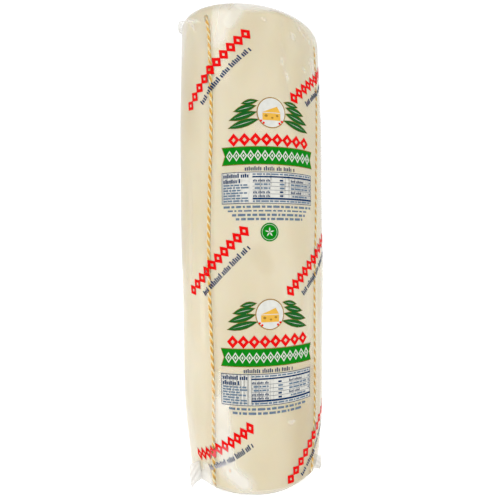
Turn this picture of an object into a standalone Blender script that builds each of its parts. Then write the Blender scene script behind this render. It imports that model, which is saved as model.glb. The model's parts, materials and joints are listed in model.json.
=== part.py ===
"""A whole log of provolone, sealed in clear film and standing on its flat end.

The packed log is one solid with the outer form of the film and what it holds. Two loops of
twisted twine run lengthwise in its grooves and cross at the middle of both ends.
Sizes are in metres. An azimuth is measured from the front (-Y) towards the right (+X).
"""

import math

import bmesh
import bpy
from mathutils import Vector

# The log: a belly two thirds of the way up, a slight taper each way, a foot that rounds in
# over its last hand's breadth, and a slanting top.
LENGTH = 0.3978
BELLY_RADIUS = 0.0645
BELLY_HEIGHT = 0.276
LOWER_TAPER = 0.0022
UPPER_TAPER = 0.0024
FOOT_ROUNDING = 0.0054
FOOT_REACH = 0.070
BASE_RIM = 0.007
TOP_RIM = 0.010
TOP_SLOPE_RIGHT = -0.115
TOP_SLOPE_BACK = 0.105
TOP_SLANT_STARTS = 0.310
TOP_CROWN = 0.0015

# The slow hand-made unevenness of its side: (depth, waves round, waves up, phase). It fades out
# towards the base over this height.
UNEVENNESS = (
    (0.00035, 2, 1.3, 0.6),
    (0.00030, 3, -2.1, 2.2),
    (0.00018, 5, 3.4, 4.0),
)
EVEN_FOOT = 0.028

# The base is rounded up at its right edge: azimuth of the highest place, how many degrees
# it reaches to each side, its lift, how near the axis it starts, and where it ends up the side.
HEEL_AZIMUTH = 80.0
HEEL_SPREAD = 75.0
HEEL_LIFT = 0.0033
HEEL_STARTS = 0.022
HEEL_ENDS = 0.030

# The twine: two plies, so two crests round its section, and the length of one whole turn.
TWINE_RADIUS = 0.0016
TWINE_VALLEY = 0.0010
PLIES = 2
LAY = 0.0130
STATIONS_PER_LAY = 6
CLEARANCE = 0.0003

# How each strand wanders: azimuth at the foot and the top, how far it leans aside at the top's
# rim, from a share of the height on, then one, two and three half waves.
STRAND_COURSES = (
    (-35.8, -32.6, -3.6, 3.3, 0.2, 2.2),
    (55.8, 65.8, 0.0, -5.1, -0.4, -0.5),
    (144.3, 146.5, 0.0, -1.5, 1.2, 0.8),
    (236.2, 240.3, 0.0, -3.0, 1.5, 0.0),
)
LEAN_STARTS = 0.93

# Where the twine's middle lies under the cheese's skin, and how the film rides up beside it.
SIDE_SEAT = 0.0003
BASE_SEAT = 0.0020
TENT_LIP = 0.00085
TENT_SLOPE = 0.00030
LIP_OFFSET = 0.00015
TENT_OFFSETS = (0.0038, 0.0065)
CROSSING_LIFT = 2 * TWINE_RADIUS + 2 * CLEARANCE
CROSSING_REACH = 0.016

# The mesh: columns between the twine and the quarter's corner, and rows up the side.
FAR_COLUMNS = 5
RIM_ROWS = 4
SIDE_ROWS = 20
CAP_STRAIGHT = 0.2
CAP_ROUND = 0.8
CAP_TURN_STARTS = 0.3

# The film's ears, left by the corners of the bag: azimuth, height of the foot and of the head,
# how far the foot and the head stand out from the axis, thickness at the root, sideways curl,
# and how far the foot rises to its free corner, as a share of the ear's height.
EARS = (
    (-52.0, 0.0045, 0.0195, 0.0700, 0.0688, 0.0024, 0.0030, -0.17),
    (67.0, 0.0053, 0.0168, 0.0630, 0.0635, 0.0030, -0.0020, 0.12),
    (-86.0, 0.3950, 0.4070, 0.0655, 0.0652, 0.0034, 0.0020, 0.12),
    (112.0, 0.3760, 0.3880, 0.0650, 0.0640, 0.0030, -0.0025, 0.12),
)
EAR_ROOT_DEPTH = 0.0050
EAR_TIP_SHARE = 0.45
EAR_EDGE_SHARE = 0.35
EAR_NOTCH = 0.22
EAR_ROWS = 6
EAR_COLUMNS = 5

# The stretch of a half wave, as its start and length, that the free edge's arch, the thickness
# and the curl each follow from the ear's foot to its head.
EAR_ARCH_WAVE = (0.15, 0.70)
EAR_THICKNESS_WAVE = (0.12, 0.76)
EAR_CURL_WAVE = (0.30, 0.90)

# The groove leaves the clearance round the twine, although its floor is made of flat faces.
FLOOR_STEPS = (0.0, 45.0, 90.0)
GROOVE_RADIUS = (TWINE_RADIUS + CLEARANCE) / math.cos(math.radians(FLOOR_STEPS[1] / 2))
NEAR_OFFSETS = (
    *(GROOVE_RADIUS * math.sin(math.radians(step)) for step in FLOOR_STEPS),
    GROOVE_RADIUS + LIP_OFFSET,
    *TENT_OFFSETS,
)
FLOOR_COLUMNS = len(FLOOR_STEPS)
HALF_COLUMNS = len(NEAR_OFFSETS) - 1 + FAR_COLUMNS
QUARTER_COLUMNS = 2 * HALF_COLUMNS
RING_COLUMNS = 4 * QUARTER_COLUMNS

# Colours and roughness, and the angle over which an edge counts as sharp.
CHEESE_COLOUR = (0.82, 0.75, 0.56, 1.0)
CHEESE_ROUGHNESS = 0.35
TWINE_COLOUR = (0.76, 0.50, 0.14, 1.0)
TWINE_ROUGHNESS = 0.85
SHARP_ANGLE = math.radians(50)


def smoothstep(low, high, value):
    """Rises from 0 at low to 1 at high, level at both ends."""
    share = min(max((value - low) / (high - low), 0.0), 1.0)
    return share * share * (3 - 2 * share)


def side_radius(height):
    """The log's radius at a height: two half parabolas that meet at the belly, and the foot."""
    if height < BELLY_HEIGHT:
        drop = LOWER_TAPER * (1 - height / BELLY_HEIGHT) ** 2
    else:
        drop = UPPER_TAPER * ((height - BELLY_HEIGHT) / (LENGTH - BELLY_HEIGHT)) ** 2
    return BELLY_RADIUS - drop - FOOT_ROUNDING * max(1 - height / FOOT_REACH, 0.0) ** 2


def unevenness(azimuth, height):
    """Slow waves in the side, which fade out at the foot so that the log stands flat."""
    turns = height / LENGTH
    waves = sum(
        depth * math.sin(around * azimuth + 2 * math.pi * up * turns + phase)
        for depth, around, up, phase in UNEVENNESS
    )
    return waves * smoothstep(0, EVEN_FOOT, height)


def heel(azimuth, distance, height):
    """How far the rounded edge of the base lifts a point at this distance from the axis."""
    off = (math.degrees(azimuth) - HEEL_AZIMUTH + 180) % 360 - 180
    if abs(off) >= HEEL_SPREAD:
        return 0.0
    round_it = math.cos(math.pi / 2 * off / HEEL_SPREAD) ** 2
    outward = smoothstep(HEEL_STARTS, side_radius(0) - BASE_RIM, distance)
    return HEEL_LIFT * round_it * outward * (1 - smoothstep(0, HEEL_ENDS, height))


def slant(x, y, height):
    """How far the slanting top lifts or lowers a point whose height on a straight log is given."""
    share = smoothstep(TOP_SLANT_STARTS, LENGTH - TOP_RIM, height)
    return share * (TOP_SLOPE_RIGHT * x + TOP_SLOPE_BACK * y)


def strand_direction(strand, height):
    """The level unit vector from the axis to a strand of twine."""
    foot, top, lean, *waves = STRAND_COURSES[strand % len(STRAND_COURSES)]
    turns = height / LENGTH
    degrees = foot + (top - foot) * turns + lean * smoothstep(LEAN_STARTS, 1, turns)
    degrees += sum(size * math.sin((n + 1) * math.pi * turns) for n, size in enumerate(waves))
    azimuth = math.radians(degrees)
    return Vector((math.sin(azimuth), -math.cos(azimuth)))


def spread(x, y, height):
    """Turns a plan in which the strands lie at the front, right, back and left into the real one."""
    right = strand_direction(1, height) if x >= 0 else -strand_direction(3, height)
    back = strand_direction(2, height) if y >= 0 else -strand_direction(0, height)
    return x * right + y * back


def column_angles(radius):
    """Angles of a quarter's columns from its strand, closest beside the twine."""
    near = [math.asin(offset / radius) for offset in NEAR_OFFSETS]
    step = (math.pi / 4 - near[-1]) / FAR_COLUMNS
    half = near + [near[-1] + step * (n + 1) for n in range(FAR_COLUMNS)]
    return [-angle for angle in reversed(half[1:])] + half


def groove_height(column, seat, tent):
    """Height of a column over the cheese's skin, for a column counted from the strand."""
    if column < FLOOR_COLUMNS:
        return -seat - GROOVE_RADIUS * math.cos(math.radians(FLOOR_STEPS[column]))
    if column == FLOOR_COLUMNS:
        return tent * TENT_LIP
    if column == FLOOR_COLUMNS + 1:
        return tent * TENT_SLOPE
    return 0.0


def crossing_hump(distance):
    """1 where the twines cross, falling smoothly to 0."""
    if abs(distance) >= CROSSING_REACH:
        return 0.0
    return math.cos(math.pi / 2 * distance / CROSSING_REACH) ** 2


def meridian_rows():
    """Rows from the base ring to the top ring: (height, inset, outward, upward, seat, tent)."""
    rows = []
    for n in range(RIM_ROWS + 1):
        turn = math.pi / 2 * (1 - n / RIM_ROWS)
        share = 1 - math.sin(turn)
        seat = SIDE_SEAT + (BASE_SEAT - SIDE_SEAT) * (1 - share)
        inset = BASE_RIM * (1 - math.cos(turn))
        rows.append((BASE_RIM * share, inset, math.cos(turn), -math.sin(turn), seat, share))
    low, high = BASE_RIM, LENGTH - TOP_RIM
    for n in range(1, SIDE_ROWS):
        rows.append((low + (high - low) * n / SIDE_ROWS, 0.0, 1.0, 0.0, SIDE_SEAT, 1.0))
    for n in range(RIM_ROWS + 1):
        turn = math.pi / 2 * n / RIM_ROWS
        height = high + TOP_RIM * math.sin(turn)
        inset = TOP_RIM * (1 - math.cos(turn))
        rows.append((height, inset, math.cos(turn), math.sin(turn), SIDE_SEAT, 1.0))
    return rows


def side_point(direction, row, lift):
    """A point of the side or of a rim, lifted from the cheese's skin along its normal."""
    height, inset, outward, upward = row[:4]
    azimuth = math.atan2(direction.x, -direction.y)
    skin = side_radius(height) - inset + unevenness(azimuth, height)
    x, y = direction * (skin + lift * outward)
    rise = slant(x, y, height) + heel(azimuth, skin, height)
    return Vector((x, y, height + rise + lift * upward))


def cap_plan(across, along, radius, height):
    """Plan of a cap's grid point: square between the crossed strands, and round at the rim.

    across and along are the sines of the columns' angles that the point's two lines end at.
    """

    def stretched(own, other):
        own, other = math.sqrt(2) * own, math.sqrt(2) * other
        widening = math.sqrt(max(2 - other * other, 1.0)) - 1
        size = 1 + widening * smoothstep(CAP_STRAIGHT, CAP_ROUND, abs(own))
        return radius / math.sqrt(2) * own * size

    x, y = stretched(across, along), stretched(along, across)
    plan = spread(x, y, height)
    if plan.length == 0:
        return plan
    share = smoothstep(CAP_TURN_STARTS, 1, math.hypot(x, y) / radius)
    return plan * (math.hypot(x, y) / plan.length) ** share


def cap_point(plan, top, lift):
    """A point of the base or the top, lifted from the cheese's skin straight out of it."""
    if not top:
        rise = heel(math.atan2(plan.x, -plan.y), plan.length, 0.0)
        return Vector((plan.x, plan.y, rise - lift))
    ring = side_radius(LENGTH) - TOP_RIM
    crown = TOP_CROWN * max(1 - plan.length_squared / ring**2, 0.0)
    height = LENGTH + slant(plan.x, plan.y, LENGTH) + crown
    return Vector((plan.x, plan.y, height + lift))


def strand_column(index):
    """How many columns a column of a quarter lies from its strand."""
    return abs(index - HALF_COLUMNS)


def cap_lift(a, b, place, top):
    """Lift of a cap's grid point: the deeper groove wins, and else the higher tent."""
    seat, tent = (SIDE_SEAT, 1.0) if top else (BASE_SEAT, 0.0)
    dive = 0.0 if top else CROSSING_LIFT * crossing_hump(place)
    lifts = [
        groove_height(strand_column(a), seat + dive, tent),
        groove_height(strand_column(b), seat, tent),
    ]
    return min(lifts) if min(lifts) < 0 else max(lifts)


def ring_index(a, b):
    """Where a point on the edge of a cap's square grid lies on the ring, or None inside it."""
    n = QUARTER_COLUMNS
    if b == 0:
        return a
    if a == n:
        return n + b
    if b == n:
        return 3 * n - a
    if a == 0:
        return (4 * n - b) % RING_COLUMNS
    return None


def add_cap(mesh, ring, row, top):
    """Closes a ring of vertices by a square grid that runs on from the side's columns."""
    n = QUARTER_COLUMNS
    height = LENGTH if top else 0.0
    radius = side_radius(row[0]) - row[1]
    sines = [math.sin(angle) for angle in column_angles(radius)]
    grid = {}
    for a in range(n + 1):
        for b in range(n + 1):
            edge = ring_index(a, b)
            if edge is not None:
                grid[a, b] = ring[edge]
                continue
            plan = cap_plan(sines[a], sines[b], radius, height)
            place = cap_plan(0.0, sines[b], radius, height).length
            grid[a, b] = mesh.verts.new(cap_point(plan, top, cap_lift(a, b, place, top)))
    for a in range(n):
        for b in range(n):
            corners = [grid[a, b], grid[a + 1, b], grid[a + 1, b + 1], grid[a, b + 1]]
            mesh.faces.new(corners if top else reversed(corners))


def build_log_mesh():
    """The packed log without its ears: rings up the side, and a grid over each end."""
    mesh = bmesh.new()
    rows = meridian_rows()
    rings = []
    for row in rows:
        height, inset = row[:2]
        angles = column_angles(side_radius(height) - inset)
        ring = []
        for quarter in range(4):
            for index in range(QUARTER_COLUMNS):
                angle = math.pi / 2 * quarter + angles[index]
                direction = spread(math.sin(angle), -math.cos(angle), height).normalized()
                lift = groove_height(strand_column(index), *row[4:])
                ring.append(mesh.verts.new(side_point(direction, row, lift)))
        rings.append(ring)
    for lower, upper in zip(rings, rings[1:]):
        for n in range(RING_COLUMNS):
            after = (n + 1) % RING_COLUMNS
            mesh.faces.new((lower[n], lower[after], upper[after], upper[n]))
    add_cap(mesh, rings[0], rows[0], top=False)
    add_cap(mesh, rings[-1], rows[-1], top=True)
    return mesh


def half_wave(stretch, share):
    """Height of a half wave at this share of a stretch of it."""
    start, length = stretch
    return math.sin(math.pi * (start + length * share))


def build_ear_mesh(azimuth, foot, head, foot_reach, head_reach, thickness, curl, rise):
    """One ear: a thin upright flap, thickest at its root, with an arched and curled free edge."""
    mesh = bmesh.new()
    turn = math.radians(azimuth)
    outward = Vector((math.sin(turn), -math.cos(turn), 0))
    sideways = Vector((math.cos(turn), math.sin(turn), 0))
    sheets = []
    for side in (-1, 1):
        sheet = []
        for row in range(EAR_ROWS + 1):
            up = row / EAR_ROWS
            root = side_radius(foot) - EAR_ROOT_DEPTH
            reach = foot_reach + (head_reach - foot_reach) * up
            reach -= (reach - root) * EAR_NOTCH * (1 - half_wave(EAR_ARCH_WAVE, up))
            fullness = half_wave(EAR_THICKNESS_WAVE, up)
            line = []
            for column in range(EAR_COLUMNS + 1):
                out = column / EAR_COLUMNS
                height = foot + (head - foot) * (up + rise * out**3 * (1 - up) ** 2)
                distance = root + (reach - root) * out
                half = thickness / 2 * (1 - (1 - EAR_TIP_SHARE) * out)
                half *= EAR_EDGE_SHARE + (1 - EAR_EDGE_SHARE) * fullness
                bend = curl * out**2 * half_wave(EAR_CURL_WAVE, up)
                place = outward * distance + sideways * (bend + side * half)
                line.append(mesh.verts.new(place + Vector((0, 0, height))))
            sheet.append(line)
        sheets.append(sheet)
    left, right = sheets
    for row in range(EAR_ROWS):
        for column in range(EAR_COLUMNS):
            for sheet, forward in ((left, True), (right, False)):
                corners = [
                    sheet[row][column],
                    sheet[row][column + 1],
                    sheet[row + 1][column + 1],
                    sheet[row + 1][column],
                ]
                mesh.faces.new(corners if forward else reversed(corners))
    rim = [(0, column) for column in range(EAR_COLUMNS)]
    rim += [(row, EAR_COLUMNS) for row in range(EAR_ROWS)]
    rim += [(EAR_ROWS, column) for column in range(EAR_COLUMNS, 0, -1)]
    rim += [(row, 0) for row in range(EAR_ROWS, 0, -1)]
    for (row, column), (next_row, next_column) in zip(rim, rim[1:] + rim[:1]):
        mesh.faces.new(
            (
                left[next_row][next_column],
                left[row][column],
                right[row][column],
                right[next_row][next_column],
            )
        )
    return mesh


def strand_path(strand, lifted):
    """Points along one strand's middle, from the base's centre up to the top's, lifted there."""
    rows = meridian_rows()
    points = []

    def cross_cap(row, top):
        radius = side_radius(row[0]) - row[1]
        height = LENGTH if top else 0.0
        sines = [math.sin(angle) for angle in column_angles(radius)[HALF_COLUMNS:-1]]
        first = strand % 2 == 0
        for sine in sines:
            distance = cap_plan(0.0, sine, radius, height).length
            plan = distance * strand_direction(strand, height)
            hump = CROSSING_LIFT * crossing_hump(distance)
            if top:
                lift = -SIDE_SEAT + (hump if lifted else 0.0)
            else:
                lift = -BASE_SEAT - (hump if first else 0.0)
            yield cap_point(plan, top, lift)

    points += list(cross_cap(rows[0], top=False))
    for row in rows:
        points.append(side_point(strand_direction(strand, row[0]), row, -row[4]))
    points += reversed(list(cross_cap(rows[-1], top=True)))
    return points


def resampled(points, step, multiple):
    """Even stations along a closed line of points, their number a multiple of the one given."""
    loop = points + points[:1]
    lengths = [0.0]
    for a, b in zip(loop, loop[1:]):
        lengths.append(lengths[-1] + (b - a).length)
    count = multiple * round(lengths[-1] / (multiple * step))
    stations = []
    n = 0
    for index in range(count):
        target = lengths[-1] * index / count
        while lengths[n + 1] < target:
            n += 1
        share = (target - lengths[n]) / (lengths[n + 1] - lengths[n])
        stations.append(loop[n].lerp(loop[n + 1], share))
    return stations


def build_twine_mesh(first_strand, lifted):
    """A closed loop of twine up one strand and down the opposite one, with an S twist."""
    up = strand_path(first_strand, lifted)
    down = strand_path(first_strand + 2, lifted)
    points = up + list(reversed(down))[1:-1]
    sides = 2 * PLIES
    stations = resampled(points, LAY / STATIONS_PER_LAY, STATIONS_PER_LAY)
    plane = strand_direction(first_strand, 0.0).orthogonal().to_3d()
    mesh = bmesh.new()
    rings = []
    for index, place in enumerate(stations):
        forward = stations[(index + 1) % len(stations)] - stations[index - 1]
        side = forward.normalized().cross(plane).normalized()
        other = forward.normalized().cross(side)
        ring = []
        for corner in range(sides):
            turn = 2 * math.pi * (corner / sides - index / STATIONS_PER_LAY)
            radius = TWINE_RADIUS if corner % 2 == 0 else TWINE_VALLEY
            offset = (side * math.cos(turn) + other * math.sin(turn)) * radius
            ring.append(mesh.verts.new(place + offset))
        rings.append(ring)
    for index, ring in enumerate(rings):
        following = rings[(index + 1) % len(rings)]
        for corner in range(sides):
            after = (corner + 1) % sides
            mesh.faces.new((ring[corner], ring[after], following[after]))
            mesh.faces.new((ring[corner], following[after], following[corner]))
    return mesh


def make_material(name, colour, roughness):
    """A material with one colour and roughness."""
    material = bpy.data.materials.new(name)
    material.use_nodes = True
    shader = material.node_tree.nodes["Principled BSDF"]
    shader.inputs["Base Color"].default_value = colour
    shader.inputs["Roughness"].default_value = roughness
    shader.inputs["Metallic"].default_value = 0.0
    return material


def make_object(name, mesh, material):
    """An object from a bmesh, its faces turned outwards and its sharp edges marked."""
    bmesh.ops.recalc_face_normals(mesh, faces=mesh.faces)
    data = bpy.data.meshes.new(name)
    mesh.to_mesh(data)
    mesh.free()
    data.shade_smooth()
    data.set_sharp_from_angle(angle=SHARP_ANGLE)
    data.materials.append(material)
    made = bpy.data.objects.new(name, data)
    bpy.context.scene.collection.objects.link(made)
    return made


def join_ears(log, material):
    """Unites the ears with the log, so that the sealed bag is one solid."""
    helpers = bpy.data.collections.new("ears")
    bpy.context.scene.collection.children.link(helpers)
    for number, ear in enumerate(EARS, start=1):
        made = make_object(f"ear_{number}", build_ear_mesh(*ear), material)
        bpy.context.scene.collection.objects.unlink(made)
        helpers.objects.link(made)
    union = log.modifiers.new("ears", "BOOLEAN")
    union.operation = "UNION"
    union.operand_type = "COLLECTION"
    union.collection = helpers
    union.solver = "EXACT"
    bpy.context.view_layer.objects.active = log
    bpy.ops.object.modifier_apply(modifier=union.name)
    for made in list(helpers.objects):
        bpy.data.objects.remove(made, do_unlink=True)
    bpy.data.collections.remove(helpers)


def main():
    for old in list(bpy.data.objects):
        bpy.data.objects.remove(old, do_unlink=True)
    cheese = make_material("provolone_in_clear_film", CHEESE_COLOUR, CHEESE_ROUGHNESS)
    jute = make_material("golden_twine", TWINE_COLOUR, TWINE_ROUGHNESS)
    log = make_object("packed_log", build_log_mesh(), cheese)
    join_ears(log, cheese)
    make_object("twine_loop_under", build_twine_mesh(0, lifted=False), jute)
    make_object("twine_loop_over", build_twine_mesh(1, lifted=True), jute)


main()
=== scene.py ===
"""A whole provolone log in printed clear film, standing on a pale studio floor.

The cheese, its twisted twine, the tight film with its creases and ears, and the print on the
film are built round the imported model. Sizes are in metres and angles in radians, unless a comment
or a name's ending says mm or degrees. An azimuth is measured from the front (-Y) towards the
right (+X).
"""

import json
import math
import random
from types import SimpleNamespace

import bmesh
import bpy
import numpy as np
from bpy.props import FloatProperty, FloatVectorProperty, IntProperty, PointerProperty
from mathutils import Euler, Matrix, Vector, noise

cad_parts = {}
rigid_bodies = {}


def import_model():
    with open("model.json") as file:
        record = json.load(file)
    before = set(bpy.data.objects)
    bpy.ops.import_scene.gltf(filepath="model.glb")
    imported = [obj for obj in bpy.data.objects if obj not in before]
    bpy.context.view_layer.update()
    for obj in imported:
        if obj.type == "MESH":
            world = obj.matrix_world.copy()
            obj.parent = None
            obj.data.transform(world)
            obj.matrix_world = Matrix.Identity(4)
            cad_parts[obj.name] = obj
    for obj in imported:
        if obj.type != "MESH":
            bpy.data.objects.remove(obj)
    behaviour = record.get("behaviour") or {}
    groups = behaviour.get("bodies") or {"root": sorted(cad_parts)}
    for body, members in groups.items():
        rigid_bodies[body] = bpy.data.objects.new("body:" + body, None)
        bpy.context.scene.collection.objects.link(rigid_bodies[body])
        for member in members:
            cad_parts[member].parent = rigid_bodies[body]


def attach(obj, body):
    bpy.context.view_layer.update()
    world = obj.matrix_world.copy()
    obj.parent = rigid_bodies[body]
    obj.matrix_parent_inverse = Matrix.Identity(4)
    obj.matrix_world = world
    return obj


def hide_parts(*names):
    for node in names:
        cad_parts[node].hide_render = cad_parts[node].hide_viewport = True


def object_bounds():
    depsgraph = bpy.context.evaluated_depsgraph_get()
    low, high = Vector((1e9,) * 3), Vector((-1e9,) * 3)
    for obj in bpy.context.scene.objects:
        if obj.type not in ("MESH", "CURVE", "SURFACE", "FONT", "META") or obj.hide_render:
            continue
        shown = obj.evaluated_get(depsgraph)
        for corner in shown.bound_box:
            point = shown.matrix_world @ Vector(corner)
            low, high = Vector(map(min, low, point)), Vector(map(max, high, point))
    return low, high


bl_info = {
    "name": "Provolone Log",
    "version": (1, 0, 0),
    "blender": (4, 5, 0),
    "location": "View3D > Sidebar > Provolone",
    "description": "Dresses a provolone log with its cheese, twine, film and print",
    "category": "Object",
}

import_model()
CAD_LOW, CAD_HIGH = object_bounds()

MM = 0.001

# The log's form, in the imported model's own frame: its belly, its tapers up and down, its rounded
# foot and the rims of its ends.
LENGTH = 0.3978
BELLY_RADIUS = 0.0645
BELLY_HEIGHT = 0.276
LOWER_TAPER = 0.0022
UPPER_TAPER = 0.0024
FOOT_ROUNDING = 0.0054
FOOT_REACH = 0.070
BASE_RIM = 0.007
TOP_RIM = 0.010

# The top: how it slopes to the right and to the back, where the slant starts, and its crown.
TOP_SLOPE_RIGHT = -0.115
TOP_SLOPE_BACK = 0.105
TOP_SLANT_STARTS = 0.310
TOP_CROWN = 0.0015

# The side's slow waves: depth, waves round the log, waves up the log, and phase. They fade out
# below the height of EVEN_FOOT.
UNEVENNESS = (
    (0.00035, 2, 1.3, 0.6),
    (0.00030, 3, -2.1, 2.2),
    (0.00018, 5, 3.4, 4.0),
)
EVEN_FOOT = 0.028

# Where the base's edge is rounded off more: the middle and the half width of that part in
# degrees, its lift, how far from the axis it starts, and up to what height it reaches.
HEEL_AZIMUTH = 80.0
HEEL_SPREAD = 75.0
HEEL_LIFT = 0.0033
HEEL_STARTS = 0.022
HEEL_ENDS = 0.030

# The grid on both ends: square up to the first share of the radius, round from the second on, and
# from the third share on its lines turn towards the strands.
CAP_STRAIGHT = 0.2
CAP_ROUND = 0.8
CAP_TURN_STARTS = 0.3

# How each strand of twine wanders, in degrees: azimuth at the foot and the top, how far it leans
# aside at the top, then one, two and three half waves. The lean starts at a share of the height.
STRAND_COURSES = (
    (-35.8, -32.6, -3.6, 3.3, 0.2, 2.2),
    (55.8, 65.8, 0.0, -5.1, -0.4, -0.5),
    (144.3, 146.5, 0.0, -1.5, 1.2, 0.8),
    (236.2, 240.3, 0.0, -3.0, 1.5, 0.0),
)
LEAN_STARTS = 0.93
TWINE_RADIUS = 0.0016

# How deep the twine's middle lies in the side and the base, and how one loop rises over the
# other, or dips under it, near the crossings.
SIDE_SEAT = 0.0003
BASE_SEAT = 0.0020
CROSSING_LIFT = 0.0038
CROSSING_REACH = 0.016

# Where the taut twine lies deeper than elsewhere: strand, from and to along the skin, and depth.
# At the top's corner the front and right strands have cut right in, and the cheese has closed
# over them.
BITES = (
    (0, 0.3840, 0.4215, 0.0034),
    (1, 0.3790, 0.4215, 0.0034),
    (1, 0.0200, 0.4000, 0.0007),
)
BITE_EDGE = 0.010
CLOSES_OVER = 0.0015

# Lengths along the skin, up one side: the base's rim, the side, the top's rim.
BASE_ARC = BASE_RIM * math.pi / 2
TOP_ARC = TOP_RIM * math.pi / 2
STRAIGHT = LENGTH - BASE_RIM - TOP_RIM
CLIMB = BASE_ARC + STRAIGHT + TOP_ARC

# The film's ears: azimuth in degrees, height of the foot and of the head, how far each stands out
# from the axis, thickness at the root, sideways curl, and how far the foot's corner turns up.
EARS = (
    (-52.0, 0.0045, 0.0195, 0.0700, 0.0688, 0.0024, 0.0030, -0.17),
    (67.0, 0.0053, 0.0168, 0.0630, 0.0635, 0.0030, -0.0020, 0.12),
    (-86.0, 0.3950, 0.4070, 0.0655, 0.0652, 0.0034, 0.0020, 0.12),
    (112.0, 0.3760, 0.3880, 0.0650, 0.0640, 0.0030, -0.0025, 0.12),
)


def linear(hex_colour):
    """The linear red, green and blue of an sRGB hex colour."""
    parts = [int(hex_colour[n : n + 2], 16) / 255 for n in (0, 2, 4)]
    return tuple(c / 12.92 if c <= 0.04045 else ((c + 0.055) / 1.055) ** 2.4 for c in parts)


def length_property(name, description, default):
    return FloatProperty(
        name=name, description=description, default=default, unit="LENGTH", precision=5
    )


def colour_property(name, description, hex_colour):
    return FloatVectorProperty(
        name=name, description=description, default=linear(hex_colour), subtype="COLOR",
        min=0, max=1,
    )


def power_property(name, description, default):
    return FloatProperty(name=name, description=description, default=default, unit="POWER")


class CheeseSettings(bpy.types.PropertyGroup):
    """Sizes and colours of the cheese."""

    gap: length_property("Gap", "Room between the film and the cheese", 0.00030)
    colour: colour_property("Colour", "The cheese's pale cream", "EDE4CB")
    patch_colour: colour_property("Patch colour", "Slightly riper patches", "E6DBBD")
    # Colour of the darker patches; the large one on the lower right is painted shade.
    darker_colour: colour_property("Ripe colour", "The ripest places", "D2C09A")


class TwineSettings(bpy.types.PropertyGroup):
    """Sizes and colours of the twine."""

    ply_radius: length_property("Ply radius", "Radius of one of the two plies", 0.00087)
    ply_offset: length_property("Ply offset", "From the twine's middle to a ply's", 0.00081)
    lay: length_property("Lay", "Length of one full turn of the twist", 0.0130)
    # The pale crest colour is a painted highlight on each ply, and the flanks' gold is the twine's
    # own, deepened as painted shade between the plies.
    colour: colour_property("Colour", "Pale worn fibre on the crest of a ply", "FFF3CC")
    shade_colour: colour_property("Shade colour", "Golden fibre on a ply's flanks", "F6C656")


class FilmSettings(bpy.types.PropertyGroup):
    """Sizes and finish of the film."""

    rest: length_property("Rest", "How far the film lies inside the packed model", 0.00012)
    gap: length_property("Twine gap", "Room between the film and the top of the twine", 0.00033)
    tent_width: length_property("Tent width", "Half width of the film's tent over twine", 0.0030)
    # The veil's colour is also used for the painted highlights and glints on the film.
    veil_colour: colour_property("Veil colour", "Film where it is creased and cloudy", "F4F3EF")
    creases: IntProperty(name="Creases", description="Short creases at each end", default=30)


class PrintSettings(bpy.types.PropertyGroup):
    """Place and colours of the print."""

    upper_height: length_property("Upper label", "Height of the upper banner's middle", 0.2694)
    lower_height: length_property("Lower label", "Height of the lower banner's middle", 0.1126)
    rise: length_property("Rise", "How far the lowest ink stands on the film", 0.00001)
    green: colour_property("Green", "Banners and seals", "006E0A")
    leaf: colour_property("Leaf", "Leaves beside the oval", "12501A")
    red: colour_property("Red", "Lozenges and berries", "C80202")
    navy: colour_property("Navy", "Rules, headings and strokes", "05294F")
    slate: colour_property("Slate", "Small strokes, too fine to be full navy", "5A6B7C")
    gold: colour_property("Gold", "Keylines, and the holes in the cheese", "8E6C28")
    amber: colour_property("Amber", "Cheese in the oval, and a fleck", "C79A3C")
    white: colour_property("White", "Motifs on the green", "BEBEB8")
    panel: colour_property("Panel", "Ground of the table", "BFBEB7")


class StageSettings(bpy.types.PropertyGroup):
    """The studio's lights."""

    right: FloatProperty(name="Right", description="Light from the front right", default=1.22)
    left: FloatProperty(name="Left", description="Light from the back left", default=1.13)
    softbox: power_property("Softbox", "Power of the upper left softbox", 1.5)
    low_light: power_property("Low light", "Power of the lower left softbox", 0.12)
    fill: power_property("Fill", "Power of the low left fill", 0.30)
    front: power_property("Front", "Power of the front fill", 0.56)


class ProvoloneSettings(bpy.types.PropertyGroup):
    """Everything that can be set."""

    cheese: PointerProperty(type=CheeseSettings)
    twine: PointerProperty(type=TwineSettings)
    film: PointerProperty(type=FilmSettings)
    print: PointerProperty(type=PrintSettings)
    stage: PointerProperty(type=StageSettings)


# The log's form


def smoothstep(low, high, value):
    """Rises from 0 at low to 1 at high, level at both ends."""
    share = np.clip((value - low) / (high - low), 0, 1)
    return share * share * (3 - 2 * share)


def side_radius(height):
    """The log's radius at a height: belly, tapers and rounded foot."""
    below = np.clip(1 - height / BELLY_HEIGHT, 0, None)
    above = np.clip((height - BELLY_HEIGHT) / (LENGTH - BELLY_HEIGHT), 0, None)
    foot = np.clip(1 - height / FOOT_REACH, 0, None)
    drop = LOWER_TAPER * below**2 + UPPER_TAPER * above**2 + FOOT_ROUNDING * foot**2
    return BELLY_RADIUS - drop


def unevenness(azimuth, height):
    """Slow hand-made waves in the side, which fade out at the foot."""
    waves = sum(
        depth * np.sin(around * azimuth + 2 * np.pi * up * height / LENGTH + phase)
        for depth, around, up, phase in UNEVENNESS
    )
    return waves * smoothstep(0, EVEN_FOOT, height)


def heel(azimuth, distance, height):
    """How far the rounded edge of the base lifts a point at this distance from the axis."""
    off = (np.degrees(azimuth) - HEEL_AZIMUTH + 180) % 360 - 180
    round_it = np.cos(np.pi / 2 * np.clip(off / HEEL_SPREAD, -1, 1)) ** 2
    outward = smoothstep(HEEL_STARTS, side_radius(0.0) - BASE_RIM, distance)
    return HEEL_LIFT * round_it * outward * (1 - smoothstep(0, HEEL_ENDS, height))


def slant(x, y, height):
    """How far the slanting top lifts or lowers a point."""
    share = smoothstep(TOP_SLANT_STARTS, LENGTH - TOP_RIM, height)
    return share * (TOP_SLOPE_RIGHT * x + TOP_SLOPE_BACK * y)


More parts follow.
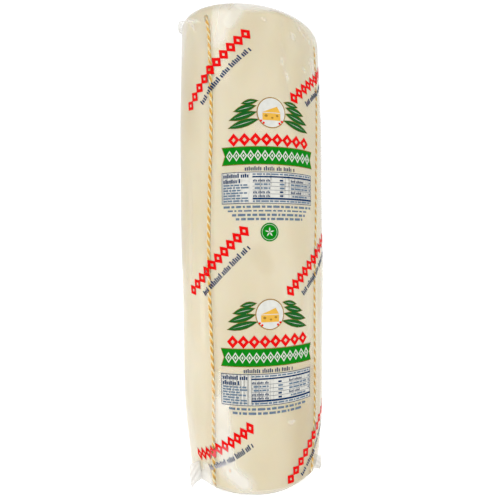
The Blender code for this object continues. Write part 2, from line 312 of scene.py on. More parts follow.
def strand_azimuth(strand, height):
    """Azimuth of a strand of twine, in radians."""
    foot, top, lean, *waves = STRAND_COURSES[strand % len(STRAND_COURSES)]
    share = height / LENGTH
    degrees = foot + (top - foot) * share + lean * smoothstep(LEAN_STARTS, 1, share)
    for n, size in enumerate(waves, start=1):
        degrees = degrees + size * np.sin(n * np.pi * share)
    return np.radians(degrees)


def level(azimuth):
    """Level unit vectors at these azimuths."""
    return np.stack((np.sin(azimuth), -np.cos(azimuth)), axis=-1)


def spread(x, y, height):
    """The real plan for one in which the strands lie at the front, right, back and left."""
    right = np.where((x >= 0)[..., None], level(strand_azimuth(1, height)),
                     -level(strand_azimuth(3, height)))
    back = np.where((y >= 0)[..., None], level(strand_azimuth(2, height)),
                    -level(strand_azimuth(0, height)))
    return x[..., None] * right + y[..., None] * back


def rim_turns(climb):
    """How far round the base's and the top's rim a point is, and its height, by its climb."""
    base_turn = np.clip(1 - climb / BASE_ARC, 0, 1) * np.pi / 2
    top_turn = np.clip((climb - BASE_ARC - STRAIGHT) / TOP_ARC, 0, 1) * np.pi / 2
    height = BASE_RIM * (1 - np.sin(base_turn)) + np.clip(climb - BASE_ARC, 0, STRAIGHT)
    return base_turn, top_turn, height + TOP_RIM * np.sin(top_turn)


def side_place(azimuth, climb):
    """Places on the side and the rims, by azimuth and by the way up along the skin."""
    base_turn, top_turn, height = rim_turns(climb)
    inset = BASE_RIM * (1 - np.cos(base_turn)) + TOP_RIM * (1 - np.cos(top_turn))
    sunk = np.sin(base_turn)
    return SimpleNamespace(
        azimuth=azimuth,
        height=height,
        climb=climb,
        radius=side_radius(height) - inset + unevenness(azimuth, height),
        outward=np.cos(base_turn) * np.cos(top_turn),
        upward=np.sin(top_turn) - sunk,
        seat=SIDE_SEAT + (BASE_SEAT - SIDE_SEAT) * sunk,
        tent=1 - sunk,
        crown=np.zeros_like(height),
    )


def cap_place(azimuth, radius, top):
    """Places on the base or the top, by azimuth and distance from the axis."""
    ring = (side_radius(LENGTH) - TOP_RIM) if top else (side_radius(0.0) - BASE_RIM)
    whole = np.ones_like(radius)
    crown = TOP_CROWN * np.clip(1 - (radius / ring) ** 2, 0, None) if top else 0 * whole
    return SimpleNamespace(
        azimuth=azimuth,
        height=(LENGTH if top else 0.0) * whole,
        climb=CLIMB + ring - radius if top else radius - ring,
        radius=radius,
        outward=0 * whole,
        upward=whole if top else -whole,
        seat=(SIDE_SEAT if top else BASE_SEAT) * whole,
        tent=whole if top else 0 * whole,
        crown=crown,
    )


def points_at(place, lift):
    """Points lifted from the skin along its normal."""
    radius = place.radius + lift * place.outward
    x, y = radius * np.sin(place.azimuth), -radius * np.cos(place.azimuth)
    rise = slant(x, y, place.height) + heel(place.azimuth, place.radius, place.height)
    z = place.height + rise + place.crown + lift * place.upward
    return np.stack((x, y, z), axis=-1)


def joined(side, cap_base, cap_top, where_side, where_base, where_top):
    """One set of places from three."""
    whole = {}
    for name, values in vars(side).items():
        every = np.empty(len(where_side))
        every[where_side] = values
        every[where_base] = getattr(cap_base, name)
        every[where_top] = getattr(cap_top, name)
        whole[name] = every
    return SimpleNamespace(**whole)


def column_angle(share, closeness):
    """Angle of a column from its strand, for a share of the half quarter. Columns close up near
    the twine where closeness is low."""
    return math.pi / 4 * (closeness * share + (1 - closeness) * share**3)


def cap_plan(across, along, radius, height):
    """Plan of a cap's grid: square between the crossed strands, and round at the rim."""

    def stretched(own, other):
        own, other = math.sqrt(2) * own, math.sqrt(2) * other
        widening = np.sqrt(np.clip(2 - other * other, 1.0, None)) - 1
        size = 1 + widening * smoothstep(CAP_STRAIGHT, CAP_ROUND, np.abs(own))
        return radius / math.sqrt(2) * own * size

    x, y = stretched(across, along), stretched(along, across)
    plan = spread(x, y, np.full_like(x, height))
    real = np.maximum(np.hypot(*plan.T), 1e-9)
    straight = np.maximum(np.hypot(x, y), 1e-9)
    share = smoothstep(CAP_TURN_STARTS, 1.0, straight / radius)
    return plan * ((straight / real) ** share)[:, None]


def box_places(box, closeness, evenness):
    """Where the points of a finely divided box, -1 to 1 each way, lie on the log. Columns close
    up near the twine where closeness is low, and rows near the ends where evenness is."""
    x, y, z = box.T
    edge = 1 - 1e-5
    inner = np.maximum(np.abs(x), np.abs(y)) < edge
    where_base, where_top = (z < -edge) & inner, (z > edge) & inner
    where_side = ~(where_base | where_top)

    def azimuths(plan):
        return np.arctan2(plan[:, 0], -plan[:, 1])

    x, y, z = box[where_side].T
    quarters = [y < -edge, x > edge, y > edge, x < -edge]
    shares = np.select(quarters, [x, y, -x, -y])
    turns = np.select(quarters, [0.0, 0.5, 1.0, 1.5]) * np.pi + column_angle(shares, closeness)
    rise = evenness * z + (1 - evenness) * np.sin(np.pi / 2 * z)
    climb = CLIMB * (1 + rise) / 2
    height = rim_turns(climb)[2]
    side = side_place(azimuths(spread(np.sin(turns), -np.cos(turns), height)), climb)

    caps = []
    for where, height, rim in ((where_base, 0.0, BASE_RIM), (where_top, LENGTH, TOP_RIM)):
        across = np.sin(column_angle(box[where, 0], closeness))
        along = np.sin(column_angle(box[where, 1], closeness))
        plan = cap_plan(across, along, side_radius(height) - rim, height)
        caps.append(cap_place(azimuths(plan), np.hypot(*plan.T), top=height > 0))
    return joined(side, *caps, where_side, where_base, where_top)


def crossing_hump(distance):
    """1 where the twines cross, falling smoothly to 0."""
    share = np.clip(np.abs(distance) / CROSSING_REACH, 0, 1)
    return np.cos(np.pi / 2 * share) ** 2


def bite(strand, climb):
    """How much deeper than elsewhere the twine lies at these climbs of a strand."""
    depths = [np.zeros_like(climb)]
    for bitten, start, end, depth in BITES:
        if strand == bitten:
            into = smoothstep(start, start + BITE_EDGE, climb)
            depths.append(depth * into * (1 - smoothstep(end - BITE_EDGE, end, climb)))
    return np.maximum.reduce(depths)


def strand_distances(place, first):
    """Distance across from the nearer strand of a pair, along it from the crossing, and how deep
    that strand has bitten."""
    turn = place.azimuth - strand_azimuth(first, place.height)
    other = place.azimuth - strand_azimuth(first + 2, place.height)
    nearer = np.cos(turn) > 0
    across = place.radius * np.where(nearer, np.sin(turn), np.sin(other))
    depth = np.where(nearer, bite(first, place.climb), bite(first + 2, place.climb))
    return across, place.radius * np.abs(np.cos(turn)), depth


def twine_lift(place, first, along, depth):
    """Lift of the twine's middle over the skin, humped or sunk at the crossings."""
    hump = CROSSING_LIFT * crossing_hump(along) * (place.outward == 0)
    if first == 0:
        return -place.seat - hump * (place.upward < 0) - depth
    return -place.seat + hump * (place.upward > 0) - depth


def cheese_lift(place, gap):
    """The cheese's skin: just under the film, with a groove where each strand is pressed in,
    closed again over a strand that has bitten in deeper."""
    lift = -gap * np.ones_like(place.height)
    for first in (0, 1):
        across, along, depth = strand_distances(place, first)
        middle = twine_lift(place, first, along, depth)
        floor = middle - np.sqrt(np.clip(TWINE_RADIUS**2 - across**2, 0, None))
        open_groove = (np.abs(across) < TWINE_RADIUS) & (depth < CLOSES_OVER)
        lift = np.where(open_groove, np.minimum(lift, floor), lift)
    return lift


# The film's creases, milky patches and painted highlights

# Creases that the photo shows: azimuth in degrees and climb in mm at both ends, then width and
# height in mm.
SHOWN_CREASES = (
    (22.8, 393.0, 23.2, 371.0, 1.6, 0.06),
    (23.2, 371.0, 26.3, 350.0, 1.6, 0.10),
    (26.3, 350.0, 27.2, 322.0, 1.6, 0.07),
    (23.0, 358.0, 24.2, 347.0, 1.6, 0.24),
    (26.0, 345.0, 28.2, 334.0, 1.7, 0.26),
    (8.8, 388.0, 11.0, 386.6, 1.5, 0.30),
    (31.6, 382.0, 35.8, 380.6, 0.9, 0.36),
    (31.6, 378.4, 35.8, 377.8, 0.9, 0.34),
    (38.0, 390.6, 42.6, 387.6, 1.2, 0.24),
    (43.0, 386.8, 48.6, 384.0, 1.1, 0.22),
    (52.0, 384.8, 55.4, 379.8, 1.2, 0.24),
    (50.6, 363.0, 54.0, 359.2, 1.1, 0.26),
    (42.6, 353.4, 45.4, 349.2, 1.2, 0.30),
    (-64.0, 394.0, -39.5, 386.4, 1.3, 0.34),
    (-61.0, 391.0, -58.6, 376.0, 1.2, 0.26),
    (-49.6, 396.0, -42.0, 395.2, 1.1, 0.30),
    (-52.0, 390.0, -45.0, 380.0, 1.2, 0.26),
    (25.4, 65.8, 26.6, 62.0, 1.1, 0.34),
    (26.6, 62.0, 30.4, 64.8, 1.1, 0.36),
    (-40.0, 9.6, 40.0, 9.2, 0.9, 0.30),
    (-26.0, 5.0, 30.0, 4.6, 0.9, 0.26),
)

# Where the film stands loose and looks milky, and where highlights are painted on it: both ends as
# above, half width in mm, strength. The first eleven zones, high on the front left and along the
# top's rim, and low on the front left down to the foot, are painted highlights, where the softboxes
# would glance off the film; the rest are loose milky film.
MILK_AND_HIGHLIGHT_ZONES = (
    (-25.0, 366.0, -24.6, 394.0, 4.2, 0.22),
    (-21.0, 371.0, -19.0, 394.0, 6.6, 0.30),
    (-15.0, 383.0, -8.0, 395.0, 7.0, 0.36),
    (-6.0, 398.0, 12.0, 401.0, 7.0, 0.48),
    (12.0, 401.0, 34.0, 400.0, 4.4, 0.36),
    (34.0, 399.0, 62.0, 390.0, 5.0, 0.20),
    (-26.5, 100.0, -25.5, 84.0, 4.4, 0.14),
    (-23.9, 80.0, -23.7, 54.0, 8.0, 0.38),
    (-23.7, 54.0, -20.6, 30.0, 8.0, 0.42),
    (-21.0, 27.0, -9.5, 15.5, 9.8, 0.32),
    (-18.0, 24.0, -10.0, 16.5, 6.6, 0.52),
    (-52.0, 6.0, -44.0, 12.0, 9.0, 0.60),
    (-42.0, 22.0, -38.0, 10.0, 5.0, 0.40),
    (56.0, 344.0, 57.0, 366.0, 4.0, 0.20),
    (-49.0, 110.0, -50.0, 40.0, 14.0, 0.07),
    (-60.0, 60.0, -58.0, 20.0, 8.0, 0.14),
    (66.0, 8.0, 66.0, 22.0, 6.0, 0.26),
    (72.0, 40.0, 71.0, 370.0, 5.0, 0.16),
    (-70.0, 372.0, -60.0, 396.0, 8.0, 0.22),
    (-86.0, 396.0, -74.0, 392.0, 8.0, 0.26),
    (112.0, 384.0, 108.0, 394.0, 9.0, 0.26),
    (150.0, 60.0, 158.0, 24.0, 6.0, 0.24),
    (205.0, 380.0, 216.0, 396.0, 7.0, 0.22),
    (228.0, 30.0, 232.0, 90.0, 6.0, 0.16),
)

# Where the cheese is painted a little darker: as above. The large patch low on the right is painted
# shade, darkening that side; the other two are plain darker patches.
DARKER_PATCHES = (
    (43.0, 88.0, 47.0, 22.0, 25.0, 0.40),
    (4.0, 197.0, 9.0, 188.0, 8.0, 0.24),
    (24.0, 372.0, 25.0, 320.0, 5.0, 0.10),
)

# Where a lamp's glare is painted over the print, paling it: as above.
GLARE = (
    (-44.0, 17.0, -21.0, 29.0, 4.8, 0.60),
    (-30.0, 36.0, -22.0, 40.0, 6.0, 0.14),
)

# The colour of the painted glare.
GLARE_COLOUR = "C9C6D0"

# Where the film is crumpled into fine crinkles: as above, with the crinkles' strength. The crinkles
# are bumped, and also painted with white glints.
CRUMPLES = (
    (24.0, 352.0, 30.0, 332.0, 7.0, 0.5),
    (30.0, 384.0, 58.0, 376.0, 12.0, 0.9),
    (48.0, 370.0, 52.0, 346.0, 8.0, 0.6),
    (-64.0, 388.0, -42.0, 388.0, 12.0, 1.0),
    (-52.0, 8.0, -40.0, 12.0, 12.0, 1.0),
    (28.0, 63.0, 29.0, 60.0, 6.0, 0.6),
    (50.0, 30.0, 68.0, 16.0, 14.0, 0.7),
    (-88.0, 394.0, -76.0, 390.0, 12.0, 1.0),
    (100.0, 388.0, 122.0, 386.0, 14.0, 1.0),
    (140.0, 20.0, 170.0, 14.0, 10.0, 0.6),
    (190.0, 392.0, 220.0, 386.0, 12.0, 0.7),
    (235.0, 16.0, 262.0, 14.0, 12.0, 0.7),
)


# A zone is full up to the first share of its half width, and ends at the second.
ZONE_CORE = 0.5
ZONE_REACH = 1.3

# Nearer the axis than this, a turn counts as if it were at this radius.
AXIS_RADIUS = 0.004

# The seam is flat up to the first distance from its middle, and ends at the second. The base's
# film is drawn in by the seam's height, which leaves room for the seam.
SEAM_EDGE = (0.0016, 0.0030)
SEAM_HEIGHT = 0.0004

# Where the twine stands higher than this, the film's tent over it gets wider by this share.
LOW_TENT = 0.0015
TENT_SPREAD = 0.7

# How milky the film is: at a crease of that height, at both rims, and on the seams. At the base's
# rim the white is partly loose film and partly painted light, which lifts the shade where the rim
# turns down to the floor.
CREASE_HAZE = 0.46
HIGH_CREASE = 0.00034
TOP_RIM_HAZE = 0.10
BASE_RIM_MILK_AND_PAINTED_LIGHT = 0.45
SEAM_HAZE = 0.3

# Creases laid by chance on the ends and along the side: how long, how far from the end, how much
# they lean, how wide and how high.
END_CREASES = ((0.010, 0.030), (0.004, 0.020), 0.5, (0.0011, 0.0018), (0.00012, 0.00030))
SIDE_CREASES = ((0.05, 0.14), (0.02, 0.30), 0.05, (0.0022, 0.0040), (0.00004, 0.00010))


def chance_crease(draw, end, upward, lengths, starts, lean, widths, heights):
    """One crease anywhere round the log, which runs up or down from an end."""
    run = draw.uniform(*lengths)
    return (
        math.radians(draw.uniform(-180, 180)), end + upward * draw.uniform(*starts),
        run * draw.gauss(0, lean), upward * run, draw.uniform(*widths), draw.uniform(*heights),
    )


def make_creases(count):
    """Creases as (azimuth, climb, run round, run up, width, height), in radians and metres."""
    draw = random.Random(5)
    creases = []
    for start, low, end, high, width, height in SHOWN_CREASES:
        run = math.radians(end - start) * BELLY_RADIUS
        creases.append((math.radians(start), low * MM, run, (high - low) * MM, width * MM,
                        height * MM))
    for end, inward, ears in ((0.0, 1, EARS[:2]), (CLIMB, -1, EARS[2:])):
        for n in range(count):
            azimuth = draw.uniform(70, 290)
            if n % 2:
                azimuth = draw.choice(ears)[0] + draw.gauss(0, 10)
            run = draw.uniform(0.008, 0.024)
            lean = draw.gauss(0, 0.5)
            creases.append((
                math.radians(azimuth), end + inward * draw.uniform(-0.004, 0.010),
                run * lean, inward * run, draw.uniform(0.0010, 0.0016),
                draw.uniform(0.00010, 0.00030),
            ))
        creases += [chance_crease(draw, end, -inward, *END_CREASES) for _ in range(count // 2)]
    creases += [chance_crease(draw, 0.0, 1, *SIDE_CREASES) for _ in range(count // 2)]
    return creases


def beside(place, azimuth, climb, run_round, run_up):
    """Distance from a line drawn on the skin, and how far along it, from 0 to 1."""
    turn = (place.azimuth - azimuth + np.pi) % (2 * np.pi) - np.pi
    round_by, up_by = turn * np.maximum(place.radius, AXIS_RADIUS), place.climb - climb
    share = (round_by * run_round + up_by * run_up) / (run_round**2 + run_up**2)
    share = np.clip(share, 0, 1)
    return np.hypot(round_by - share * run_round, up_by - share * run_up), share


def crease_lift(place, creases):
    """How far the creases raise the film, each fading towards its ends."""
    lift = np.zeros_like(place.height)
    for *line, width, height in creases:
        gap, share = beside(place, *line)
        ridge = np.exp(-((gap / width) ** 2)) * np.sin(np.pi * (0.08 + 0.84 * share))
        lift = np.maximum(lift, height * ridge)
    return lift


def zone_strength(place, zones):
    """Strength at each place of the strongest of these zones, soft at their edges."""
    strength = np.zeros_like(place.height)
    for start, low, end, high, half, most in zones:
        run = math.radians(end - start) * BELLY_RADIUS
        gap, _ = beside(place, math.radians(start), low * MM, run, (high - low) * MM)
        inside = 1 - smoothstep(ZONE_CORE * half * MM, ZONE_REACH * half * MM, gap)
        strength = np.maximum(strength, most * inside)
    return strength


def seam_lift(place):
    """The welded seam across each end, from ear to ear: 1 on its flat ridge, 0 beside it."""
    lift = np.zeros_like(place.height)
    for ears, upward in ((EARS[:2], -1), (EARS[2:], 1)):
        rim = side_radius(LENGTH if upward > 0 else 0.0)
        ends = [rim * level(math.radians(ear[0])) for ear in ears]
        run = ends[1] - ends[0]
        plan = place.radius[:, None] * level(place.azimuth) - ends[0]
        share = plan @ run / (run @ run)
        gap = np.hypot(*(plan - share[:, None] * run).T)
        flat = 1 - smoothstep(*SEAM_EDGE, gap)
        ends_fade = smoothstep(0.03, 0.10, share) * (1 - smoothstep(0.90, 0.97, share))
        lift = np.maximum(lift, flat * ends_fade * (place.upward * upward > 0.7))
    return lift


def film_lift(place, film, creases):
    """The film: on the skin, tented over the twine, and creased."""
    lift = np.zeros_like(place.height)
    for first in (0, 1):
        across, along, depth = strand_distances(place, first)
        top = twine_lift(place, first, along, depth) + TWINE_RADIUS + film.gap
        width = film.tent_width + TENT_SPREAD * np.clip(top - LOW_TENT, 0, None)
        rise = np.clip(top, 0, None) * place.tent * np.exp(-((across / width) ** 2))
        lift = (lift**4 + rise**4) ** 0.25
    return lift - film.rest + crease_lift(place, creases)


def haze(place, creases):
    """How white the film's veil is: milk where it stands loose, at its creases and along the seams,
    painted highlights in some of its zones, and painted light on the base's rim.
    """
    creased = CREASE_HAZE * crease_lift(place, creases) / HIGH_CREASE
    rims = np.where(place.upward > 0, TOP_RIM_HAZE, BASE_RIM_MILK_AND_PAINTED_LIGHT)
    rims = rims * smoothstep(0.3, 0.9, np.abs(place.upward)) * (place.outward > 0)
    milk_and_highlight_share = np.maximum(zone_strength(place, MILK_AND_HIGHLIGHT_ZONES), creased)
    return np.clip(milk_and_highlight_share + rims + SEAM_HAZE * seam_lift(place), 0, 1)


# Making and finishing meshes


def deselect():
    bpy.ops.object.select_all(action="DESELECT")


def select_only(piece):
    deselect()
    piece.select_set(True)
    bpy.context.view_layer.objects.active = piece


def add_box_skin(name, columns, row_steps):
    """A cube divided into columns on each side and cap, and, in steps, into rows up its sides."""
    deselect()
    bpy.ops.mesh.primitive_cube_add(size=2, location=(0, 0, 0))
    skin = bpy.context.object
    skin.name = skin.data.name = name
    bpy.ops.object.mode_set(mode="EDIT")
    bpy.ops.mesh.select_mode(type="EDGE")
    for axis, steps in ((2, row_steps), (0, (columns,)), (1, (columns,))):
        for step in steps:
            mesh = bmesh.from_edit_mesh(skin.data)
            for edge in mesh.edges:
                run = edge.verts[1].co - edge.verts[0].co
                edge.select_set(abs(run[axis]) > 0.9 * run.length)
            mesh.select_flush_mode()
            bmesh.update_edit_mesh(skin.data)
            bpy.ops.mesh.subdivide(number_cuts=step - 1)
    bpy.ops.mesh.select_mode(type="VERT")
    bpy.ops.object.mode_set(mode="OBJECT")
    return skin


def vertex_points(piece):
    points = np.empty(len(piece.data.vertices) * 3, np.float32)
    piece.data.vertices.foreach_get("co", points)
    return points.reshape(-1, 3).astype(float)


def set_vertex_points(piece, points):
    piece.data.vertices.foreach_set("co", points.astype(np.float32).ravel())
    piece.data.update()


def move_vertices(piece, points):
    """Puts a piece's vertices at these points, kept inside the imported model's box."""
    set_vertex_points(piece, np.clip(points, np.array(CAD_LOW), np.array(CAD_HIGH)))


def set_attribute(piece, name, values):
    attribute = piece.data.attributes.new(name, "FLOAT", "POINT")
    attribute.data.foreach_set("value", values.astype(np.float32))


def dress(piece, material):
    """Gives a finished piece its material, and lets it ride on the log."""
    piece.data.materials.clear()
    piece.data.materials.append(material)
    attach(piece, "root")
    return piece


def smooth(piece, angle=math.radians(50)):
    select_only(piece)
    bpy.ops.object.shade_smooth_by_angle(angle=angle)


def settings_of(context):
    return context.scene.provolone


# Materials


def new_material(name):
    """A material and its empty node tree."""
    material = bpy.data.materials.new(name)
    material.use_nodes = True
    material.node_tree.nodes.clear()
    return material, material.node_tree


def add(tree, kind, inputs=(), **values):
    """Adds a node with its settings, its inputs' values and its links."""
    node = tree.nodes.new(kind)
    for name, value in values.items():
        setattr(node, name, value)
    for key, value in dict(inputs).items():
        if isinstance(value, bpy.types.NodeSocket):
            tree.links.new(value, node.inputs[key])
        else:
            node.inputs[key].default_value = value
    return node


WHITE = "FFFFFF"


def opaque(colour):
    return (*colour, 1.0)


def object_pattern(tree, size_mm, stretch=1.0):
    """A place in millimetres of this pattern's size, drawn out upwards."""
    place = add(tree, "ShaderNodeTexCoord")
    scale = 1 / (size_mm * MM)
    return add(
        tree, "ShaderNodeMapping",
        {"Vector": place.outputs["Object"], "Scale": (scale, scale, scale / stretch)},
    ).outputs["Vector"]


def provolone_skin(cheese):
    """Fresh provolone, smooth from its mould: pale, close and slightly waxy, with light going a
    few millimetres in, so that its shadows are soft and warm."""
    material, tree = new_material("provolone_moulded_skin")
    patches = add(tree, "ShaderNodeTexNoise", {
        "Vector": object_pattern(tree, 38, 2.2), "Scale": 1.0, "Detail": 3.0, "Roughness": 0.5,
    })
    blend = add(tree, "ShaderNodeMapRange", {
        "Value": patches.outputs["Fac"], "From Min": 0.38, "From Max": 0.66,
    })
    patched = add(tree, "ShaderNodeMix", {
        0: blend.outputs["Result"], 6: opaque(cheese.colour), 7: opaque(cheese.patch_colour),
    }, data_type="RGBA")
    # Darker patches, the large one on the lower right painted shade.
    darkening_share = add(tree, "ShaderNodeAttribute", attribute_name="ripe")
    colour = add(tree, "ShaderNodeMix", {
        0: darkening_share.outputs["Fac"], 6: patched.outputs[2], 7: opaque(cheese.darker_colour),
    }, data_type="RGBA")
    grain = add(tree, "ShaderNodeTexNoise", {
        "Vector": object_pattern(tree, 2.6), "Scale": 1.0, "Detail": 4.0,
    })
    bump = add(tree, "ShaderNodeBump", {
        "Height": grain.outputs["Fac"], "Distance": 0.00012, "Strength": 0.35,
    })
    shader = add(tree, "ShaderNodeBsdfPrincipled", {
        "Base Color": colour.outputs[2], "Roughness": 0.46, "IOR": 1.45,
        "Subsurface Weight": 0.35, "Subsurface Radius": (1.0, 0.62, 0.30),
        "Subsurface Scale": 0.004, "Normal": bump.outputs["Normal"],
    })
    add(tree, "ShaderNodeOutputMaterial", {"Surface": shader.outputs["BSDF"]})
    return material


def golden_twine(twine):
    """Spun and two-plied jute or sisal string, dyed golden: fine fibres lie along each ply. Each
    ply's crest is painted pale as a highlight, and its flanks deep gold as painted shade, so that
    slanting stripes run up the string."""
    material, tree = new_material("golden_two_ply_string")
    place = add(tree, "ShaderNodeUVMap", uv_map="ply")
    fibres = add(tree, "ShaderNodeTexWave", {
        "Vector": place.outputs["UV"], "Scale": 2.2, "Distortion": 2.5, "Detail": 2.0,
        "Detail Scale": 1.5,
    }, wave_type="BANDS", bands_direction="DIAGONAL")
    depth = add(tree, "ShaderNodeAttribute", attribute_name="crest")
    shade = add(tree, "ShaderNodeMapRange", {
        "Value": depth.outputs["Fac"], "From Min": 0.62, "From Max": 0.86,
    }, interpolation_type="SMOOTHSTEP")
    colour = add(tree, "ShaderNodeMix", {
        0: shade.outputs["Result"], 6: opaque(twine.shade_colour), 7: opaque(twine.colour),
    }, data_type="RGBA")
    streaks = add(tree, "ShaderNodeMapRange", {
        "Value": fibres.outputs["Fac"], "To Min": 0.86, "To Max": 1.0,
    })
    streaked = add(tree, "ShaderNodeVectorMath", {
        0: colour.outputs[2], "Scale": streaks.outputs["Result"],
    }, operation="SCALE")
    bump = add(tree, "ShaderNodeBump", {
        "Height": fibres.outputs["Fac"], "Distance": 0.00006, "Strength": 0.5,
    })
    shader = add(tree, "ShaderNodeBsdfPrincipled", {
        "Base Color": streaked.outputs["Vector"], "Roughness": 0.72,
        "Subsurface Weight": 0.4, "Subsurface Radius": (1.0, 0.8, 0.5),
        "Subsurface Scale": 0.001, "Normal": bump.outputs["Normal"],
    })
    add(tree, "ShaderNodeOutputMaterial", {"Surface": shader.outputs["BSDF"]})
    return material


def clear_film(film):
    """Clear shrink film, extruded and drawn tight: almost unseen face on, bright where a lamp
    glances off it, white where it stands loose, and crinkled near its seams. Its white veil also
    carries painted highlights, and painted glints on the crinkles."""
    material, tree = new_material("clear_shrink_film")
    ripples = add(tree, "ShaderNodeTexNoise", {
        "Vector": object_pattern(tree, 7, 5.0), "Scale": 1.0, "Detail": 2.0, "Roughness": 0.4,
    })
    crumple = add(tree, "ShaderNodeAttribute", attribute_name="crumple")
    crinkles = add(tree, "ShaderNodeTexNoise", {
        "Vector": object_pattern(tree, 4.2, 1.6), "Scale": 1.0, "Detail": 2.5,
        "Roughness": 0.5, "Distortion": 0.8,
    }, noise_type="RIDGED_MULTIFRACTAL", normalize=True)
    crinkled = add(tree, "ShaderNodeMath", {
        0: crinkles.outputs["Fac"], 1: crumple.outputs["Fac"],
    }, operation="MULTIPLY")
    relief = add(tree, "ShaderNodeMath", {
        0: crinkled.outputs["Value"], 1: 3.0, 2: ripples.outputs["Fac"],
    }, operation="MULTIPLY_ADD")
    bump = add(tree, "ShaderNodeBump", {
        "Height": relief.outputs["Value"], "Distance": 0.00016, "Strength": 0.5,
    })
    normal = bump.outputs["Normal"]
    fresnel = add(tree, "ShaderNodeFresnel", {"IOR": 1.4, "Normal": normal})
    through = add(tree, "ShaderNodeBsdfTransparent", {"Color": opaque(linear(WHITE))})
    gloss = add(tree, "ShaderNodeBsdfGlossy", {"Roughness": 0.12, "Normal": normal})
    clear = add(tree, "ShaderNodeMixShader", {
        0: fresnel.outputs["Fac"], 1: through.outputs["BSDF"], 2: gloss.outputs["BSDF"],
    })
    # Painted glints: white spots of veil on the crinkles.
    glints = add(tree, "ShaderNodeMapRange", {
        "Value": crinkled.outputs["Value"], "From Min": 0.42, "From Max": 0.80, "To Max": 0.34,
    }, interpolation_type="SMOOTHSTEP")
    # The veil's share: loose milky film, and painted highlights.
    milk_and_highlight_share = add(tree, "ShaderNodeAttribute", attribute_name="haze")
    veil_with_painted_light = add(tree, "ShaderNodeMath", {
        0: milk_and_highlight_share.outputs["Fac"], 1: glints.outputs["Result"],
    }, operation="ADD", use_clamp=True)
    veil = add(tree, "ShaderNodeBsdfPrincipled", {
        "Base Color": opaque(film.veil_colour), "Roughness": 0.25, "Normal": normal,
    })
    whole = add(tree, "ShaderNodeMixShader", {
        0: veil_with_painted_light.outputs["Value"], 1: clear.outputs["Shader"], 2: veil.outputs["BSDF"],
    })
    add(tree, "ShaderNodeOutputMaterial", {"Surface": whole.outputs["Shader"]})
    return material


def ink(name, colour):
    """Flexographic ink printed on the film: a thin even coat of strong colour, with the silky
    surface that ink dries to, and a little unevenness in its strength."""
    material, tree = new_material(name)
    strength = add(tree, "ShaderNodeTexNoise", {
        "Vector": object_pattern(tree, 3.5), "Scale": 1.0, "Detail": 2.0,
    })
    share = add(tree, "ShaderNodeMapRange", {
        "Value": strength.outputs["Fac"], "From Min": 0.3, "From Max": 0.7,
    })
    pale = tuple(min(1.0, 1.12 * c + 0.004) for c in colour)
    even = add(tree, "ShaderNodeMix", {
        0: share.outputs["Result"], 6: opaque(colour), 7: opaque(pale),
    }, data_type="RGBA")
    # A painted glare pales the ink where the glare attribute says.
    glare = add(tree, "ShaderNodeAttribute", attribute_name="glare")
    mix = add(tree, "ShaderNodeMix", {
        0: glare.outputs["Fac"], 6: even.outputs[2], 7: opaque(linear(GLARE_COLOUR)),
    }, data_type="RGBA")
    shader = add(tree, "ShaderNodeBsdfPrincipled", {
        "Base Color": mix.outputs[2], "Roughness": 0.35, "IOR": 1.08,
    })
    add(tree, "ShaderNodeOutputMaterial", {"Surface": shader.outputs["BSDF"]})
    return material


# The cheese


class PROVOLONE_OT_cheese(bpy.types.Operator):
    """Make the cheese inside the film, grooved by its twine"""

    bl_idname = "provolone.cheese"
    bl_label = "Cheese"

    def execute(self, context):
        cheese = settings_of(context).cheese
        piece = add_box_skin("cheese", columns=60, row_steps=(12, 12))
        place = box_places(vertex_points(piece), closeness=0.36, evenness=0.6)
        move_vertices(piece, points_at(place, cheese_lift(place, cheese.gap)))
        set_attribute(piece, "ripe", zone_strength(place, DARKER_PATCHES))
        smooth(piece)
        dress(piece, provolone_skin(cheese))
        return {"FINISHED"}


# The twine: its plies, each with this many sides, their rings along it, and the points that its
# course is first worked out at.

PLIES = 2
TWINE_SIDES = 8
TWINE_STEP = 0.0011
FIRST_STATIONS = 240


def strand_path(strand):
    """Points along one strand's middle, from the base's centre up to the top's."""
    first = strand % 2
    parts = []
    for top in (False, True):
        rim, height = (TOP_RIM, LENGTH) if top else (BASE_RIM, 0.0)
        distance = np.linspace(0, side_radius(height) - rim, FIRST_STATIONS // 4)
        if top:
            distance = distance[::-1]
        azimuth = np.full_like(distance, strand_azimuth(strand, height))
        place = cap_place(azimuth, distance, top)
        depth = bite(strand, place.climb)
        parts.append(points_at(place, twine_lift(place, first, distance, depth)))
    climb = np.linspace(0, CLIMB, FIRST_STATIONS)[1:-1]
    azimuth = strand_azimuth(strand, rim_turns(climb)[2])
    place = side_place(azimuth, climb)
    parts.insert(1, points_at(place, -place.seat - bite(strand, climb)))
    return np.concatenate(parts)


def even_stations(points, step, lay):
    """Even stations along a closed line, a whole number of lays long, and how many each has."""
    loop = np.vstack((points, points[:1]))
    lengths = np.concatenate(([0], np.cumsum(np.linalg.norm(np.diff(loop, axis=0), axis=1))))
    per_lay = round(lay / step)
    count = per_lay * round(lengths[-1] / lay)
    targets = np.arange(count) * lengths[-1] / count
    stations = np.stack([np.interp(targets, lengths, loop[:, n]) for n in range(3)], axis=-1)
    return stations, per_lay


def smoothed(points, rounds=6):
    for _ in range(rounds):
        points = (np.roll(points, 1, 0) + 2 * points + np.roll(points, -1, 0)) / 4
    return points


def directions(points):
    run = np.roll(points, -1, 0) - np.roll(points, 1, 0)
    return run / np.linalg.norm(run, axis=1)[:, None]


def crossed(a, b):
    product = np.cross(a, b)
    return product / np.linalg.norm(product, axis=1)[:, None]


